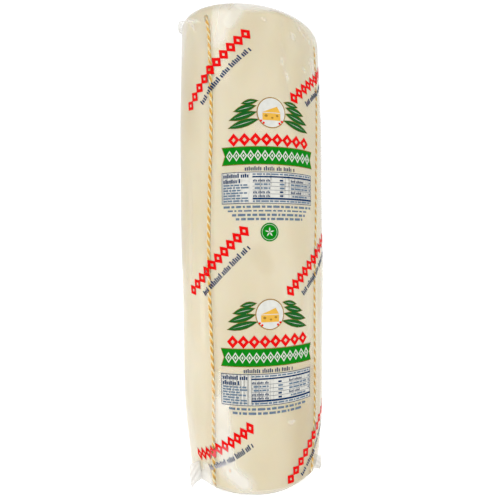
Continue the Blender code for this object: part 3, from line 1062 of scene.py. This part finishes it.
def add_twine(name, first, twine):
    """A closed loop of two-ply twine up one strand and down the opposite one. It is marked with
    how near each vertex is to its ply's crest, and unrolled in millimetres along the ply."""
    up, down = strand_path(first), strand_path(first + 2)
    stations, per_lay = even_stations(np.vstack((up, down[::-1][1:-1])), TWINE_STEP, twine.lay)
    stations = smoothed(stations)
    count = len(stations)
    plane = np.append(level(strand_azimuth(first, 0.0) + np.pi / 2), 0.0)
    forward = directions(stations)
    side = crossed(forward, np.broadcast_to(plane, forward.shape))
    other = crossed(forward, side)
    vertices, faces, wraps, crests = [], [], [], []
    for ply in range(PLIES):
        turn = 2 * np.pi * (ply / PLIES - np.arange(count) / per_lay)
        out = side * np.cos(turn)[:, None] + other * np.sin(turn)[:, None]
        middle = stations + twine.ply_offset * out
        along = directions(middle)
        ply_side = crossed(along, out)
        start = ply * count * TWINE_SIDES
        for corner in range(TWINE_SIDES):
            angle = 2 * np.pi * corner / TWINE_SIDES
            offset = out * math.cos(angle) - ply_side * math.sin(angle)
            vertices.append(middle + twine.ply_radius * offset)
            crests.append(np.full(count, 0.5 + 0.5 * math.cos(angle)))
        ring = np.arange(count)
        after = (ring + 1) % count
        for corner in range(TWINE_SIDES):
            this = start + corner * count
            following = start + (corner + 1) % TWINE_SIDES * count
            faces.append(np.stack((this + ring, following + ring, following + after,
                                   this + after), axis=-1))
            low, high = corner / TWINE_SIDES, (corner + 1) / TWINE_SIDES
            place = np.stack((ring, ring + 1), axis=-1) * TWINE_STEP / MM
            wraps.append(np.stack((
                np.full(count, low), place[:, 0], np.full(count, high), place[:, 0],
                np.full(count, high), place[:, 1], np.full(count, low), place[:, 1],
            ), axis=-1))
    data = bpy.data.meshes.new(name)
    data.from_pydata(np.concatenate(vertices).tolist(), [], np.concatenate(faces).tolist())
    wrap = data.uv_layers.new(name="ply")
    wrap.data.foreach_set("uv", np.concatenate(wraps).astype(np.float32).ravel())
    piece = bpy.data.objects.new(name, data)
    bpy.context.scene.collection.objects.link(piece)
    set_attribute(piece, "crest", np.concatenate(crests))
    smooth(piece, math.radians(80))
    return piece


class PROVOLONE_OT_twine(bpy.types.Operator):
    """Twist both loops of twine"""

    bl_idname = "provolone.twine"
    bl_label = "Twine"

    def execute(self, context):
        twine = settings_of(context).twine
        material = golden_twine(twine)
        for first, name in enumerate(("twine_under", "twine_over")):
            piece = dress(add_twine(name, first, twine), material)
            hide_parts(name.replace("twine", "twine_loop"))
        return {"FINISHED"}


# The print: flat shapes, drawn in millimetres, then wrapped round the log. A flat label is as wide
# as on a log of this radius. The labels' azimuths are in degrees, and the lower ones are turned.

PRINT_RADIUS = 0.0643
LABEL_AZIMUTHS = (14.6, 186.0)
LOWER_LABEL_TURN = -2.6

# The chains: azimuth in degrees and height in mm of the first lozenge and of the last, and how far
# the row sags in mm.
CHAINS = (
    (-50.6, 316.3, -2.9, 369.1, 0.0),
    (-49.2, 163.9, -5.6, 211.0, 0.0),
    (-49.4, 27.1, -3.3, 58.2, 3.0),
    (32.8, 317.2, 80.5, 364.0, -1.0),
    (28.0, 163.5, 72.6, 206.0, -1.0),
    (29.2, 11.3, 76.0, 60.5, -3.0),
    (118.0, 316.0, 165.0, 367.0, 0.0),
    (114.0, 164.0, 158.0, 211.0, 0.0),
    (113.0, 20.0, 158.0, 62.0, 0.0),
    (202.0, 316.0, 250.0, 369.0, 0.0),
    (200.0, 163.0, 244.0, 210.0, 0.0),
    (199.0, 22.0, 244.0, 64.0, 0.0),
)
CHAIN_MM = 75.0
CHAIN_LINKS = 10

# How strokes and dashes vary, over and over: a stroke's height as a share of the line's, strokes
# to a group, and a dash's length in mm.
STROKE_SHARES = (0.72, 1.0, 0.70, 0.74, 0.92, 0.70, 0.72, 0.98, 0.70, 0.90, 0.74)
GROUP_STROKES = (7, 4, 9, 3, 6, 8, 5)
DASH_LENGTHS = (5.2, 2.4, 4.1, 1.6, 3.3, 6.0, 2.8, 3.7)

# How far each layer of ink stands over the one under it, and how thick ink is.
INK_STEP = 0.00003
INK_THICKNESS = 0.00002


def start_drawing(name):
    """Begins an empty flat sheet in edit mode, to which shapes are added."""
    deselect()
    bpy.ops.mesh.primitive_plane_add(size=1, location=(0, 0, 0))
    drawing = bpy.context.object
    drawing.name = drawing.data.name = name
    bpy.ops.object.mode_set(mode="EDIT")
    bpy.ops.mesh.delete(type="VERT")
    return drawing


def end_drawing():
    bpy.ops.object.mode_set(mode="OBJECT")


def keep_selected(kind, test):
    """Of the selected "verts" or "edges" of the drawing, keeps those that pass the test."""
    drawing = bmesh.from_edit_mesh(bpy.context.object.data)
    for part in getattr(drawing, kind):
        part.select_set(part.select and test(part))
    drawing.select_flush_mode()
    bmesh.update_edit_mesh(bpy.context.object.data)


def draw_bar(x, y, width, height):
    place = (x * MM, y * MM, 0)
    bpy.ops.mesh.primitive_plane_add(size=MM, location=place)
    bpy.ops.transform.resize(value=(width, height, 1), center_override=place)


def draw_disc(x, y, width, height, sides=24, turn=0.0, rim=None):
    """A filled oval, or a ring with this rim. Four sides make a lozenge."""
    place = (x * MM, y * MM, 0)
    bpy.ops.mesh.primitive_circle_add(
        vertices=sides, radius=MM / 2, fill_type="NGON", location=place
    )
    bpy.ops.transform.resize(value=(width, height, 1), center_override=place)
    if turn:
        bpy.ops.transform.rotate(value=-turn, orient_axis="Z", center_override=place)
    if rim:
        bpy.ops.mesh.inset(thickness=rim * MM)
        bpy.ops.mesh.delete(type="FACE")


def draw_leaf(x, y, length, width, turn):
    """A pointed leaf: a lozenge with its two wide corners rounded."""
    draw_disc(x, y, length, width, sides=4, turn=turn)
    middle = Vector((x * MM, y * MM, 0))
    along = Vector((math.cos(turn), math.sin(turn), 0))
    keep_selected("verts", lambda v: abs((v.co - middle).dot(along)) < 0.2 * length * MM)
    bpy.ops.mesh.bevel(
        offset_type="PERCENT", offset_pct=55, segments=3, profile=0.5, affect="VERTICES"
    )


def draw_dashes(left, right, y, height, first=0, gap=1.3):
    """A line of dashes of uneven length, from left to right."""
    x = left
    n = first
    while x < right - 1.0:
        width = min(DASH_LENGTHS[n % len(DASH_LENGTHS)], right - x)
        draw_bar(x + width / 2, y, width, height)
        x += width + gap
        n += 1


def draw_strokes(left, right, y, height, width, gap, first=0):
    """Upright strokes of uneven height on one line, in groups."""
    x, n = left, first
    group = GROUP_STROKES[first % len(GROUP_STROKES)]
    while x + width <= right:
        tall = height * STROKE_SHARES[n % len(STROKE_SHARES)]
        draw_bar(x + width / 2, y - height / 2 + tall / 2, width, tall)
        x += width + gap
        n += 1
        group -= 1
        if not group:
            x += 2 * gap
            group = GROUP_STROKES[n % len(GROUP_STROKES)]


def draw_banner(width, height, notch):
    """A ribbon with swallow-tailed ends, centred on the drawing's middle."""
    draw_bar(0, 0, width, height)
    bpy.ops.mesh.select_mode(type="EDGE")
    keep_selected("edges", lambda e: abs(e.verts[0].co.x - e.verts[1].co.x) < MM / 10)
    bpy.ops.mesh.subdivide(number_cuts=1)
    bpy.ops.mesh.select_mode(type="VERT")
    keep_selected("verts", lambda v: abs(v.co.y) < MM / 10)
    bpy.ops.transform.resize(value=(1 - 2 * notch / width, 1, 1), center_override=(0, 0, 0))


# How far the oval's middle lies over the banner's, in mm.
OVAL_Y = 33.4

# The fan of leaves right of the oval: root x, root y, tip x, tip y and width, in mm.
FAN = (
    (10.0, 28.0, 34.4, 21.6, 8.4),
    (11.6, 33.6, 33.4, 27.8, 8.6),
    (12.2, 38.4, 29.6, 34.4, 8.0),
    (10.8, 42.4, 23.6, 40.2, 6.2),
)


def fan_leaves():
    """The leaves on the right: (middle x, middle y, length, turn, width)."""
    for root_x, root_y, tip_x, tip_y, width in FAN:
        run, rise = tip_x - root_x, tip_y - root_y
        middle = (root_x + tip_x) / 2, (root_y + tip_y) / 2
        yield *middle, math.hypot(run, rise), math.atan2(rise, run), width


def draw_fan(grow=0.0):
    """Leaves that droop to both sides of the oval, larger by this much all round."""
    for x, y, length, turn, width in fan_leaves():
        draw_leaf(x, y, length + 3 * grow, width + 2 * grow, turn)
        draw_leaf(-x, y, length + 3 * grow, width + 2 * grow, math.pi - turn)


def draw_green():
    """The banner, in the middle of the drawing."""
    draw_banner(79.6, 13.4, 2.6)


def draw_gold():
    """Keylines round the banner, the leaves and the oval."""
    draw_banner(80.6, 14.4, 2.6)
    draw_fan(grow=0.45)
    draw_disc(0, OVAL_Y, 23.6, 24.4, sides=40)


def draw_white():
    """The oval's ground, the leaves' ribs, and a row of lozenges along the banner."""
    draw_disc(0, OVAL_Y, 22.0, 22.8, sides=40)
    for x, y, length, turn, _ in fan_leaves():
        draw_disc(x, y, 0.70 * length, 0.40, sides=4, turn=turn)
        draw_disc(-x, y, 0.70 * length, 0.40, sides=4, turn=-turn)
    for n in range(13):
        x = -33.6 + 5.6 * n
        draw_disc(x, 0, 5.7, 8.6, sides=4, rim=0.8)
        draw_disc(x, 0, 1.7, 2.6, sides=4)


def draw_red():
    """The row of lozenges over the banner, and berries in the oval."""
    for n in range(8):
        draw_disc(-30.1 + 8.6 * n, 12.3, 9.3, 10.4, sides=4, rim=2.3)
    for side in (-1, 1):
        for x, y in ((6.4, 25.2), (8.4, 26.8)):
            draw_disc(side * x, y, 1.9, 1.9, sides=8)


def draw_wedge():
    """A wedge of cheese in the oval: its cut side, and its top running back to the tip."""
    draw_bar(0, 30.2, 14.6, 5.6)
    draw_disc(0, 35.2, 16.9, 6.4, sides=3)
    keep_selected("verts", lambda v: v.co.y > 37 * MM)
    bpy.ops.transform.translate(value=(4.6 * MM, 0, 0))


def draw_wedge_holes():
    """Holes in the wedge's cut side."""
    for x, y, width in ((-4.4, 30.8, 2.6), (0.6, 29.4, 1.9), (4.6, 31.0, 2.2)):
        draw_disc(x, y, width, 0.8 * width, sides=12)


# The table in mm: top, bottom, left, right, and where its two columns part. Its rules and its
# rows lie a step apart.
TABLE = (-12.9, -37.0, -40.2, 38.4, -16.0)
TABLE_STEP = 3.0
BORDER = 0.45


def draw_table():
    """The navy of the framed table: its border, headings and rules, and a line over it."""
    draw_strokes(-21.5, 20.5, -10.0, 3.4, 0.85, 0.65, first=2)
    top, bottom, left, right, split = TABLE
    middle, breadth = (split + right) / 2, right - split - 0.6
    for y in (top, bottom):
        draw_bar((left + right) / 2, y, right - left, BORDER)
    for x in (left, right):
        draw_bar(x, (top + bottom) / 2, BORDER, top - bottom)
    for end, down, first in ((2.6, 2.5, 5), (9.0, 6.7, 0)):
        draw_strokes(left + 1.2, split - end, top - down, 3.3, 1.15, 0.5, first=first)
    for down, thick in ((3.6, 1.2), (20.6, 1.3)):
        draw_bar(middle, top - down, breadth, thick)
    for down in (6.4, 15.4, 18.4):
        draw_strokes(split + 0.8, split + 15.0, top - down, 1.9, 0.75, 0.35, first=3)
        draw_bar(split + 23.5, top - down, 3.0, 1.3)
    for end, down in ((17.5, 6.4), (15.0, 15.4)):
        draw_strokes(middle + 4.5, middle + end, top - down, 1.9, 0.75, 0.35, first=1)
    for n in range(5):
        draw_bar(middle, top - 7.9 - TABLE_STEP * n, breadth, 0.25)


def draw_table_rows():
    """The slate of the table: rows of small dashes."""
    top, _, left, right, split = TABLE
    middle = (split + right) / 2
    for n, short in enumerate((2.0, 1.2, 9.0, 4.0, 8.0, 1.5, 3.0)):
        draw_dashes(left + 1.2, split - short, top - 9.9 - 2.05 * n, 1.25, first=n, gap=0.7)
    draw_dashes(split + 0.5, right - 2, top - 1.6, 1.2, first=1, gap=0.8)
    draw_dashes(split + 0.5, right - 1, top - 22.5, 1.3, first=3, gap=0.8)
    for y in (top - 9.4, top - 12.4):
        draw_dashes(split + 2.0, split + 14.0, y, 1.4, first=2, gap=0.6)
        draw_dashes(split + 22.0, split + 26.0, y, 1.4, gap=0.6)
        draw_dashes(middle + 4.5, right - 4.5, y, 1.4, first=4, gap=0.6)
    draw_dashes(middle + 6.0, right - 4.5, top - 18.4, 1.4, first=3, gap=0.6)
    for n in range(4):
        draw_bar(right - 2.2, top - 6.4 - TABLE_STEP * n, 1.6, 1.4)


# Lines of dashes under the table: half width, height over the banner's middle, and thickness.
UPPER_LINES = ((39.0, -39.7, 1.7), (35.5, -42.8, 1.2), (32.0, -46.0, 1.8), (29.0, -49.2, 1.8))
LOWER_LINES = ((34.0, -39.8, 1.7), (31.0, -43.1, 1.8))


def draw_lines(lines):
    for n, (half, y, thick) in enumerate(lines):
        draw_dashes(-half, half - 1.5, y, thick, first=2 * n)


def draw_panel():
    """The table's ground."""
    top, bottom, left, right, _ = TABLE
    draw_bar((left + right) / 2, (top + bottom) / 2, right - left, top - bottom)


# The seal lies under the upper labels only, this far from the banner's middle.
SEAL = {"lower": False, "across": -2.6, "up": -59.4}


def draw_seal():
    draw_disc(0, 0, 14.6, 14.6, sides=32)


def draw_seal_marks():
    """The seal's thin ring, and a flower of five leaves."""
    draw_disc(0, 0, 12.4, 12.4, sides=32, rim=0.3)
    for n in range(5):
        turn = math.pi / 2 + 2 * math.pi * n / 5
        draw_leaf(2.0 * math.cos(turn), 2.0 * math.sin(turn), 3.6, 1.5, turn)


def draw_chain():
    """A row of lozenges along the line y = 0."""
    for n in range(CHAIN_LINKS):
        draw_disc(CHAIN_MM * n / (CHAIN_LINKS - 1), 0, 9.2, 11.2, sides=4, rim=2.5)


def draw_chain_strokes():
    """Strokes under the chain."""
    draw_strokes(9.0, 70.0, -11.0, 4.8, 1.2, 0.75, first=1)


def copied(drawing, across, up, turn=0.0, stretch=1.0, sag=0.0):
    """A copy of a drawing, laid at this place on the flat film."""
    copy = drawing.copy()
    copy.data = drawing.data.copy()
    bpy.context.scene.collection.objects.link(copy)
    if sag:
        flat = vertex_points(copy)
        share = flat[:, 0] / (CHAIN_MM * MM)
        flat[:, 1] -= 4 * sag * MM * share * (1 - share)
        set_vertex_points(copy, flat)
    place = Matrix.LocRotScale(
        Vector((across, up, 0)), Euler((0, 0, turn)), Vector((stretch, 1, 1))
    )
    copy.data.transform(place)
    return copy


def label_places(settings):
    """Where the labels lie on the flat film: (across, up, whether it is an upper one)."""
    for azimuth in LABEL_AZIMUTHS:
        yield math.radians(azimuth) * PRINT_RADIUS, settings.upper_height, True
        lower = math.radians(azimuth + LOWER_LABEL_TURN) * PRINT_RADIUS
        yield lower, settings.lower_height, False


def chain_places():
    """Where the chains lie on the flat film: (across, up, turn, stretch, sag)."""
    for start, low, end, high, sag in CHAINS:
        across, up = math.radians(start) * PRINT_RADIUS, low * MM
        run, rise = math.radians(end - start) * PRINT_RADIUS, (high - low) * MM
        length = math.hypot(run, rise)
        yield across, up, math.atan2(rise, run), length / (CHAIN_MM * MM), sag


def lay_copies(draw, places):
    """Draws once, and lays a copy at each of these places; returns the copies."""
    drawing = start_drawing("drawing")
    draw()
    end_drawing()
    copies = [copied(drawing, *place) for place in places]
    bpy.data.objects.remove(drawing)
    return copies


def lay_labels(inks, draw, upper=True, lower=True, across=0.0, up=0.0):
    """Lays a copy of a drawing on each label, this many millimetres from the banner's middle."""
    return lay_copies(draw, [
        (x + across * MM, y + up * MM)
        for x, y, is_upper in label_places(inks)
        if (upper and is_upper) or (lower and not is_upper)
    ])


def lay_chains(draw):
    return lay_copies(draw, chain_places())


def lay_fleck():
    """A fleck of amber low on the front."""
    fleck = start_drawing("fleck")
    draw_disc(-21.7, 22.0, 2.0, 3.0, sides=8)
    end_drawing()
    return fleck


def join_pieces(name, pieces):
    deselect()
    for piece in pieces:
        piece.select_set(True)
    bpy.context.view_layer.objects.active = pieces[0]
    if len(pieces) > 1:
        bpy.ops.object.join()
    whole = bpy.context.object
    whole.name = whole.data.name = name
    return whole


# The print's cuts: azimuths of the first and the last upright one in degrees, how near the twine
# they are finer, and their steps there and elsewhere; then the step of the level ones.
CUTS_START = -60
CUTS_END = 262
NEAR_TWINE = 9
FINE_CUT = 0.75
COARSE_CUT = 2.6
LEVEL_CUT = 0.005


def cut_places():
    """Where the flat print is cut, so that it bends round the log and over the twine."""
    middles = [strand_azimuth(n, LENGTH / 2) for n in range(4)]
    azimuth = math.radians(CUTS_START)
    while azimuth < math.radians(CUTS_END):
        yield azimuth * PRINT_RADIUS, (1, 0, 0)
        turns = [abs((azimuth - m + math.pi) % (2 * math.pi) - math.pi) for m in middles]
        near = min(turns) < math.radians(NEAR_TWINE)
        azimuth += math.radians(FINE_CUT if near else COARSE_CUT)
    for n in range(4, 80):
        yield n * LEVEL_CUT, (0, 1, 0)


def cut_up(piece):
    """Cuts a flat print along all those lines."""
    mesh = bmesh.new()
    mesh.from_mesh(piece.data)
    for place, normal in cut_places():
        geometry = mesh.verts[:] + mesh.edges[:] + mesh.faces[:]
        point = Vector(normal) * place
        bmesh.ops.bisect_plane(mesh, geom=geometry, dist=1e-7, plane_co=point, plane_no=normal)
    mesh.to_mesh(piece.data)
    mesh.free()


def wrap(piece, rise, film, creases):
    """Wraps a flat print round the log, standing this much on the film, and notes the glare."""
    flat = vertex_points(piece)
    azimuth, height = flat[:, 0] / PRINT_RADIUS, flat[:, 1]
    place = side_place(azimuth, BASE_ARC + height - BASE_RIM)
    move_vertices(piece, points_at(place, film_lift(place, film, creases) + rise))
    set_attribute(piece, "glare", zone_strength(place, GLARE))


def thicken(piece, thickness):
    solid = piece.modifiers.new("thickness", "SOLIDIFY")
    solid.thickness = thickness
    solid.offset = -1
    select_only(piece)
    bpy.ops.object.modifier_apply(modifier=solid.name)


class PROVOLONE_OT_print(bpy.types.Operator):
    """Print the film: banners, tables, lozenge chains and seals, one piece for each ink"""

    bl_idname = "provolone.print"
    bl_label = "Print"

    def execute(self, context):
        settings = settings_of(context)
        inks, film = settings.print, settings.film
        creases = make_creases(film.creases)
        layers = {
            "panel": (0, [lay_labels(inks, draw_panel)]),
            "gold": (0, [lay_labels(inks, draw_gold)]),
            "green": (1, [lay_labels(inks, draw_green), lay_labels(inks, draw_seal, **SEAL)]),
            "leaf": (1, [lay_labels(inks, draw_fan)]),
            "slate": (1, [
                lay_labels(inks, draw_table_rows),
                lay_labels(inks, lambda: draw_lines(UPPER_LINES), lower=False),
                lay_labels(inks, lambda: draw_lines(LOWER_LINES), upper=False),
            ]),
            "white": (2, [
                lay_labels(inks, draw_white), lay_labels(inks, draw_seal_marks, **SEAL),
            ]),
            "navy": (2, [lay_labels(inks, draw_table), lay_chains(draw_chain_strokes)]),
            "red": (3, [lay_labels(inks, draw_red), lay_chains(draw_chain)]),
            "amber": (3, [lay_labels(inks, draw_wedge), [lay_fleck()]]),
            "holes": (4, [lay_labels(inks, draw_wedge_holes)]),
        }
        for name, (layer, groups) in layers.items():
            piece = join_pieces(f"print_{name}", [copy for group in groups for copy in group])
            cut_up(piece)
            wrap(piece, inks.rise + layer * INK_STEP, film, creases)
            thicken(piece, INK_THICKNESS)
            smooth(piece, math.radians(30))
            colour = inks.gold if name == "holes" else getattr(inks, name)
            dress(piece, ink(f"{name}_ink", colour))
        return {"FINISHED"}


# The film


class PROVOLONE_OT_film(bpy.types.Operator):
    """Draw the clear film tight over the cheese and the twine, with creases and end seams"""

    bl_idname = "provolone.film"
    bl_label = "Film"

    def execute(self, context):
        film = settings_of(context).film
        creases = make_creases(film.creases)
        piece = add_box_skin("film", columns=80, row_steps=(20, 10))
        place = box_places(vertex_points(piece), closeness=0.42, evenness=0.5)
        lift = film_lift(place, film, creases) + SEAM_HEIGHT * seam_lift(place)
        lift -= SEAM_HEIGHT * (place.upward < -0.99)
        move_vertices(piece, points_at(place, lift))
        set_attribute(piece, "haze", haze(place, creases))
        set_attribute(piece, "crumple", zone_strength(place, CRUMPLES))
        smooth(piece, math.radians(80))
        dress(piece, clear_film(film))
        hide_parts("packed_log")
        return {"FINISHED"}


# The ears: rows and columns, how deep the root lies in the log's side, by what share the free edge
# is arched in, how deep its ripples, bends and crumples are, and how close together the crumples
# come.
EAR_ROWS = 22
EAR_COLUMNS = 18
EAR_ROOT = 0.0030
EAR_ARCH = 0.22
EAR_RIPPLE = 0.0002
EAR_BEND = 0.0004
EAR_CRUMPLE = 0.00015
CRUMPLES_TO_A_METRE = 420
CRUMPLE_SEED = 5

# How milky the ears are, and how strong the white glints painted on their crinkles are.
EAR_HAZE = 0.60
EAR_GLINTS = 0.12


def half_wave(start, length, share):
    """Height of a half wave at this share of a stretch of it."""
    return np.sin(math.pi * (start + length * share))


def add_ear(number, azimuth, foot, head, foot_reach, head_reach, thickness, curl, rise):
    """One ear: a flap of doubled film, thickest at its root, its free edge arched and curled."""
    deselect()
    bpy.ops.mesh.primitive_grid_add(
        x_subdivisions=EAR_COLUMNS, y_subdivisions=EAR_ROWS, size=1, location=(0.5, 0.5, 0)
    )
    ear = bpy.context.object
    ear.name = ear.data.name = f"ear_{number}"
    bpy.ops.object.transform_apply(location=True, rotation=False, scale=False)
    out, up, _ = vertex_points(ear).T
    turn = math.radians(azimuth)
    outward = np.array((math.sin(turn), -math.cos(turn), 0))
    sideways = np.array((math.cos(turn), math.sin(turn), 0))
    root = side_radius(foot) - EAR_ROOT
    reach = foot_reach + (head_reach - foot_reach) * up
    reach = reach - (reach - root) * EAR_ARCH * (1 - half_wave(0.15, 0.70, up))
    reach = reach - EAR_RIPPLE * (1 + np.sin(17 * up + 2 * number)) * out
    distance = root + (reach - root) * out
    height = foot + (head - foot) * (up + rise * out**3 * (1 - up) ** 2)
    bend = curl * out**2 * half_wave(0.30, 0.90, up)
    bend = bend + EAR_BEND * np.sin(9 * up + 5 * out + number) * np.sin(4 + 11 * out * up)
    points = distance[:, None] * outward + bend[:, None] * sideways
    points[:, 2] = height
    move_vertices(ear, points)
    puff = ear.vertex_groups.new(name="puff")
    for index, (o, u) in enumerate(zip(out, up)):
        fullness = (1 - 0.55 * o) * (0.35 + 0.65 * half_wave(0.12, 0.76, u))
        puff.add([index], fullness, "REPLACE")
    thicken_ear = ear.modifiers.new("puff", "SOLIDIFY")
    thicken_ear.thickness = thickness
    thicken_ear.offset = 0
    thicken_ear.vertex_group = "puff"
    bpy.ops.object.modifier_apply(modifier=thicken_ear.name)
    crumpled = [
        point + EAR_CRUMPLE * Vector(noise.noise_vector(point * CRUMPLES_TO_A_METRE))
        for point in map(Vector, vertex_points(ear))
    ]
    move_vertices(ear, np.array(crumpled))
    ear.vertex_groups.clear()
    return ear


class PROVOLONE_OT_ears(bpy.types.Operator):
    """Fold the film's four ears, where the corners of its end seams stand out"""

    bl_idname = "provolone.ears"
    bl_label = "Film ears"

    def execute(self, context):
        film = settings_of(context).film
        noise.seed_set(CRUMPLE_SEED)
        ears = join_pieces("film_ears", [add_ear(n, *ear) for n, ear in enumerate(EARS, 1)])
        for name, value in (("haze", EAR_HAZE), ("crumple", EAR_GLINTS)):
            set_attribute(ears, name, np.full(len(ears.data.vertices), value))
        smooth(ears, math.radians(40))
        dress(ears, clear_film(film))
        return {"FINISHED"}


# The studio

CAMERA_PLACE = (-0.00186, -0.384, 0.1963)
CAMERA_LENS_MM = 29.808
CAMERA_ROLL = math.radians(-0.745)
BACK_LEFT = (-0.70, 0.70, 0.14)

# The lamps: name, the setting that holds its power, place, target, width and height, and whether
# it lights matt surfaces and shows in glossy ones.
SOFTBOXES = (
    ("softbox_upper_left", "softbox", (-0.62, -0.66, 0.86), (0, 0, 0.34), 0.46, 0.34, False, True),
    ("softbox_low_left", "low_light", (-0.20, -0.19, 0.004), (-0.20, -0.19, 1.0), 0.14, 0.10,
     False, True),
    ("fill_low_left", "fill", (-0.48, -0.20, 0.06), (0, 0, 0.04), 0.30, 0.20, True, True),
    ("fill_front", "front", (-0.02, -0.90, 0.16), (0, 0, 0.16), 0.30, 0.40, True, False),
)


def add_camera(context):
    data = bpy.data.cameras.new("camera")
    data.lens = CAMERA_LENS_MM
    camera = bpy.data.objects.new("camera", data)
    context.scene.collection.objects.link(camera)
    facing = Vector((0, 1, 0)).to_track_quat("-Z", "Y").to_matrix().to_4x4()
    roll = Matrix.Rotation(CAMERA_ROLL, 4, "Z")
    camera.matrix_world = Matrix.Translation(CAMERA_PLACE) @ facing @ roll
    context.scene.camera = camera


def add_softbox(context, power, name, place, target, width, height, diffuse, glossy):
    data = bpy.data.lights.new(name, "AREA")
    data.shape = "RECTANGLE"
    data.size, data.size_y = width, height
    data.energy = power
    lamp = bpy.data.objects.new(name, data)
    context.scene.collection.objects.link(lamp)
    facing = (Vector(target) - Vector(place)).to_track_quat("-Z", "Y")
    lamp.matrix_world = Matrix.Translation(place) @ facing.to_matrix().to_4x4()
    lamp.visible_diffuse = diffuse
    lamp.visible_glossy = glossy


def light_world(context, stage):
    """White all round, a little brighter at the front right, as in a tent lit from outside."""
    world = bpy.data.worlds.new("light_tent")
    world.use_nodes = True
    tree = world.node_tree
    tree.nodes.clear()
    place = add(tree, "ShaderNodeTexCoord")
    side = add(tree, "ShaderNodeVectorMath", {
        0: place.outputs["Generated"], 1: BACK_LEFT,
    }, operation="DOT_PRODUCT")
    strength = add(tree, "ShaderNodeMapRange", {
        "Value": side.outputs["Value"], "From Min": -1.0, "From Max": 0.2,
        "To Min": stage.right, "To Max": stage.left,
    }, interpolation_type="SMOOTHSTEP")
    glow = add(tree, "ShaderNodeBackground", {
        "Color": opaque(linear(WHITE)), "Strength": strength.outputs["Result"],
    })
    add(tree, "ShaderNodeOutputWorld", {"Surface": glow.outputs["Background"]})
    context.scene.world = world


def pale_floor():
    """White laminate, smooth and matt, lit from below: it keeps only the faintest shadow."""
    material, tree = new_material("white_laminate_floor")
    mottle = add(tree, "ShaderNodeTexNoise", {
        "Vector": object_pattern(tree, 90), "Scale": 1.0, "Detail": 2.0,
    })
    colour = add(tree, "ShaderNodeMix", {
        0: mottle.outputs["Fac"], 6: opaque(linear("FAFAFA")), 7: opaque(linear("F7F7F7")),
    }, data_type="RGBA")
    shader = add(tree, "ShaderNodeBsdfPrincipled", {
        "Base Color": colour.outputs[2], "Roughness": 0.6, "Specular IOR Level": 0.2,
        "Emission Color": opaque(linear(WHITE)), "Emission Strength": 0.42,
    })
    add(tree, "ShaderNodeOutputMaterial", {"Surface": shader.outputs["BSDF"]})
    return material


class PROVOLONE_OT_stage(bpy.types.Operator):
    """Set the pale floor, the soft lights and the camera"""

    bl_idname = "provolone.stage"
    bl_label = "Stage"

    def execute(self, context):
        stage = settings_of(context).stage
        deselect()
        bpy.ops.mesh.primitive_plane_add(size=8, location=(0, 0, 0))
        floor = context.object
        floor.name = floor.data.name = "floor"
        floor.data.materials.append(pale_floor())
        light_world(context, stage)
        for name, setting, *rest in SOFTBOXES:
            add_softbox(context, getattr(stage, setting), name, *rest)
        add_camera(context)
        context.scene.view_settings.view_transform = "Standard"
        context.scene.view_settings.look = "None"
        return {"FINISHED"}


class PROVOLONE_PT_panel(bpy.types.Panel):
    """The log's pieces and settings"""

    bl_idname = "PROVOLONE_PT_panel"
    bl_label = "Provolone log"
    bl_space_type = "VIEW_3D"
    bl_region_type = "UI"
    bl_category = "Provolone"

    def draw(self, context):
        settings = settings_of(context)
        for operator, group in STEPS:
            column = self.layout.column(align=True)
            column.operator(operator.bl_idname)
            if group:
                part = getattr(settings, group)
                for name in part.__annotations__:
                    column.prop(part, name)


STEPS = (
    (PROVOLONE_OT_cheese, "cheese"),
    (PROVOLONE_OT_twine, "twine"),
    (PROVOLONE_OT_print, "print"),
    (PROVOLONE_OT_film, "film"),
    (PROVOLONE_OT_ears, None),
    (PROVOLONE_OT_stage, "stage"),
)
SETTINGS = (
    CheeseSettings, TwineSettings, FilmSettings, PrintSettings, StageSettings, ProvoloneSettings,
)
CLASSES = (*SETTINGS, *(operator for operator, _ in STEPS), PROVOLONE_PT_panel)


def register():
    for cls in CLASSES:
        bpy.utils.register_class(cls)
    bpy.types.Scene.provolone = PointerProperty(type=ProvoloneSettings)


def unregister():
    del bpy.types.Scene.provolone
    for cls in reversed(CLASSES):
        bpy.utils.unregister_class(cls)


def clear_startup():
    for name in ("Cube", "Light", "Camera"):
        if name in bpy.data.objects:
            bpy.data.objects.remove(bpy.data.objects[name])


def main():
    register()
    clear_startup()
    bpy.ops.provolone.cheese()
    bpy.ops.provolone.twine()
    bpy.ops.provolone.print()
    bpy.ops.provolone.film()
    bpy.ops.provolone.ears()
    bpy.ops.provolone.stage()


if __name__ == "__main__":
    main()
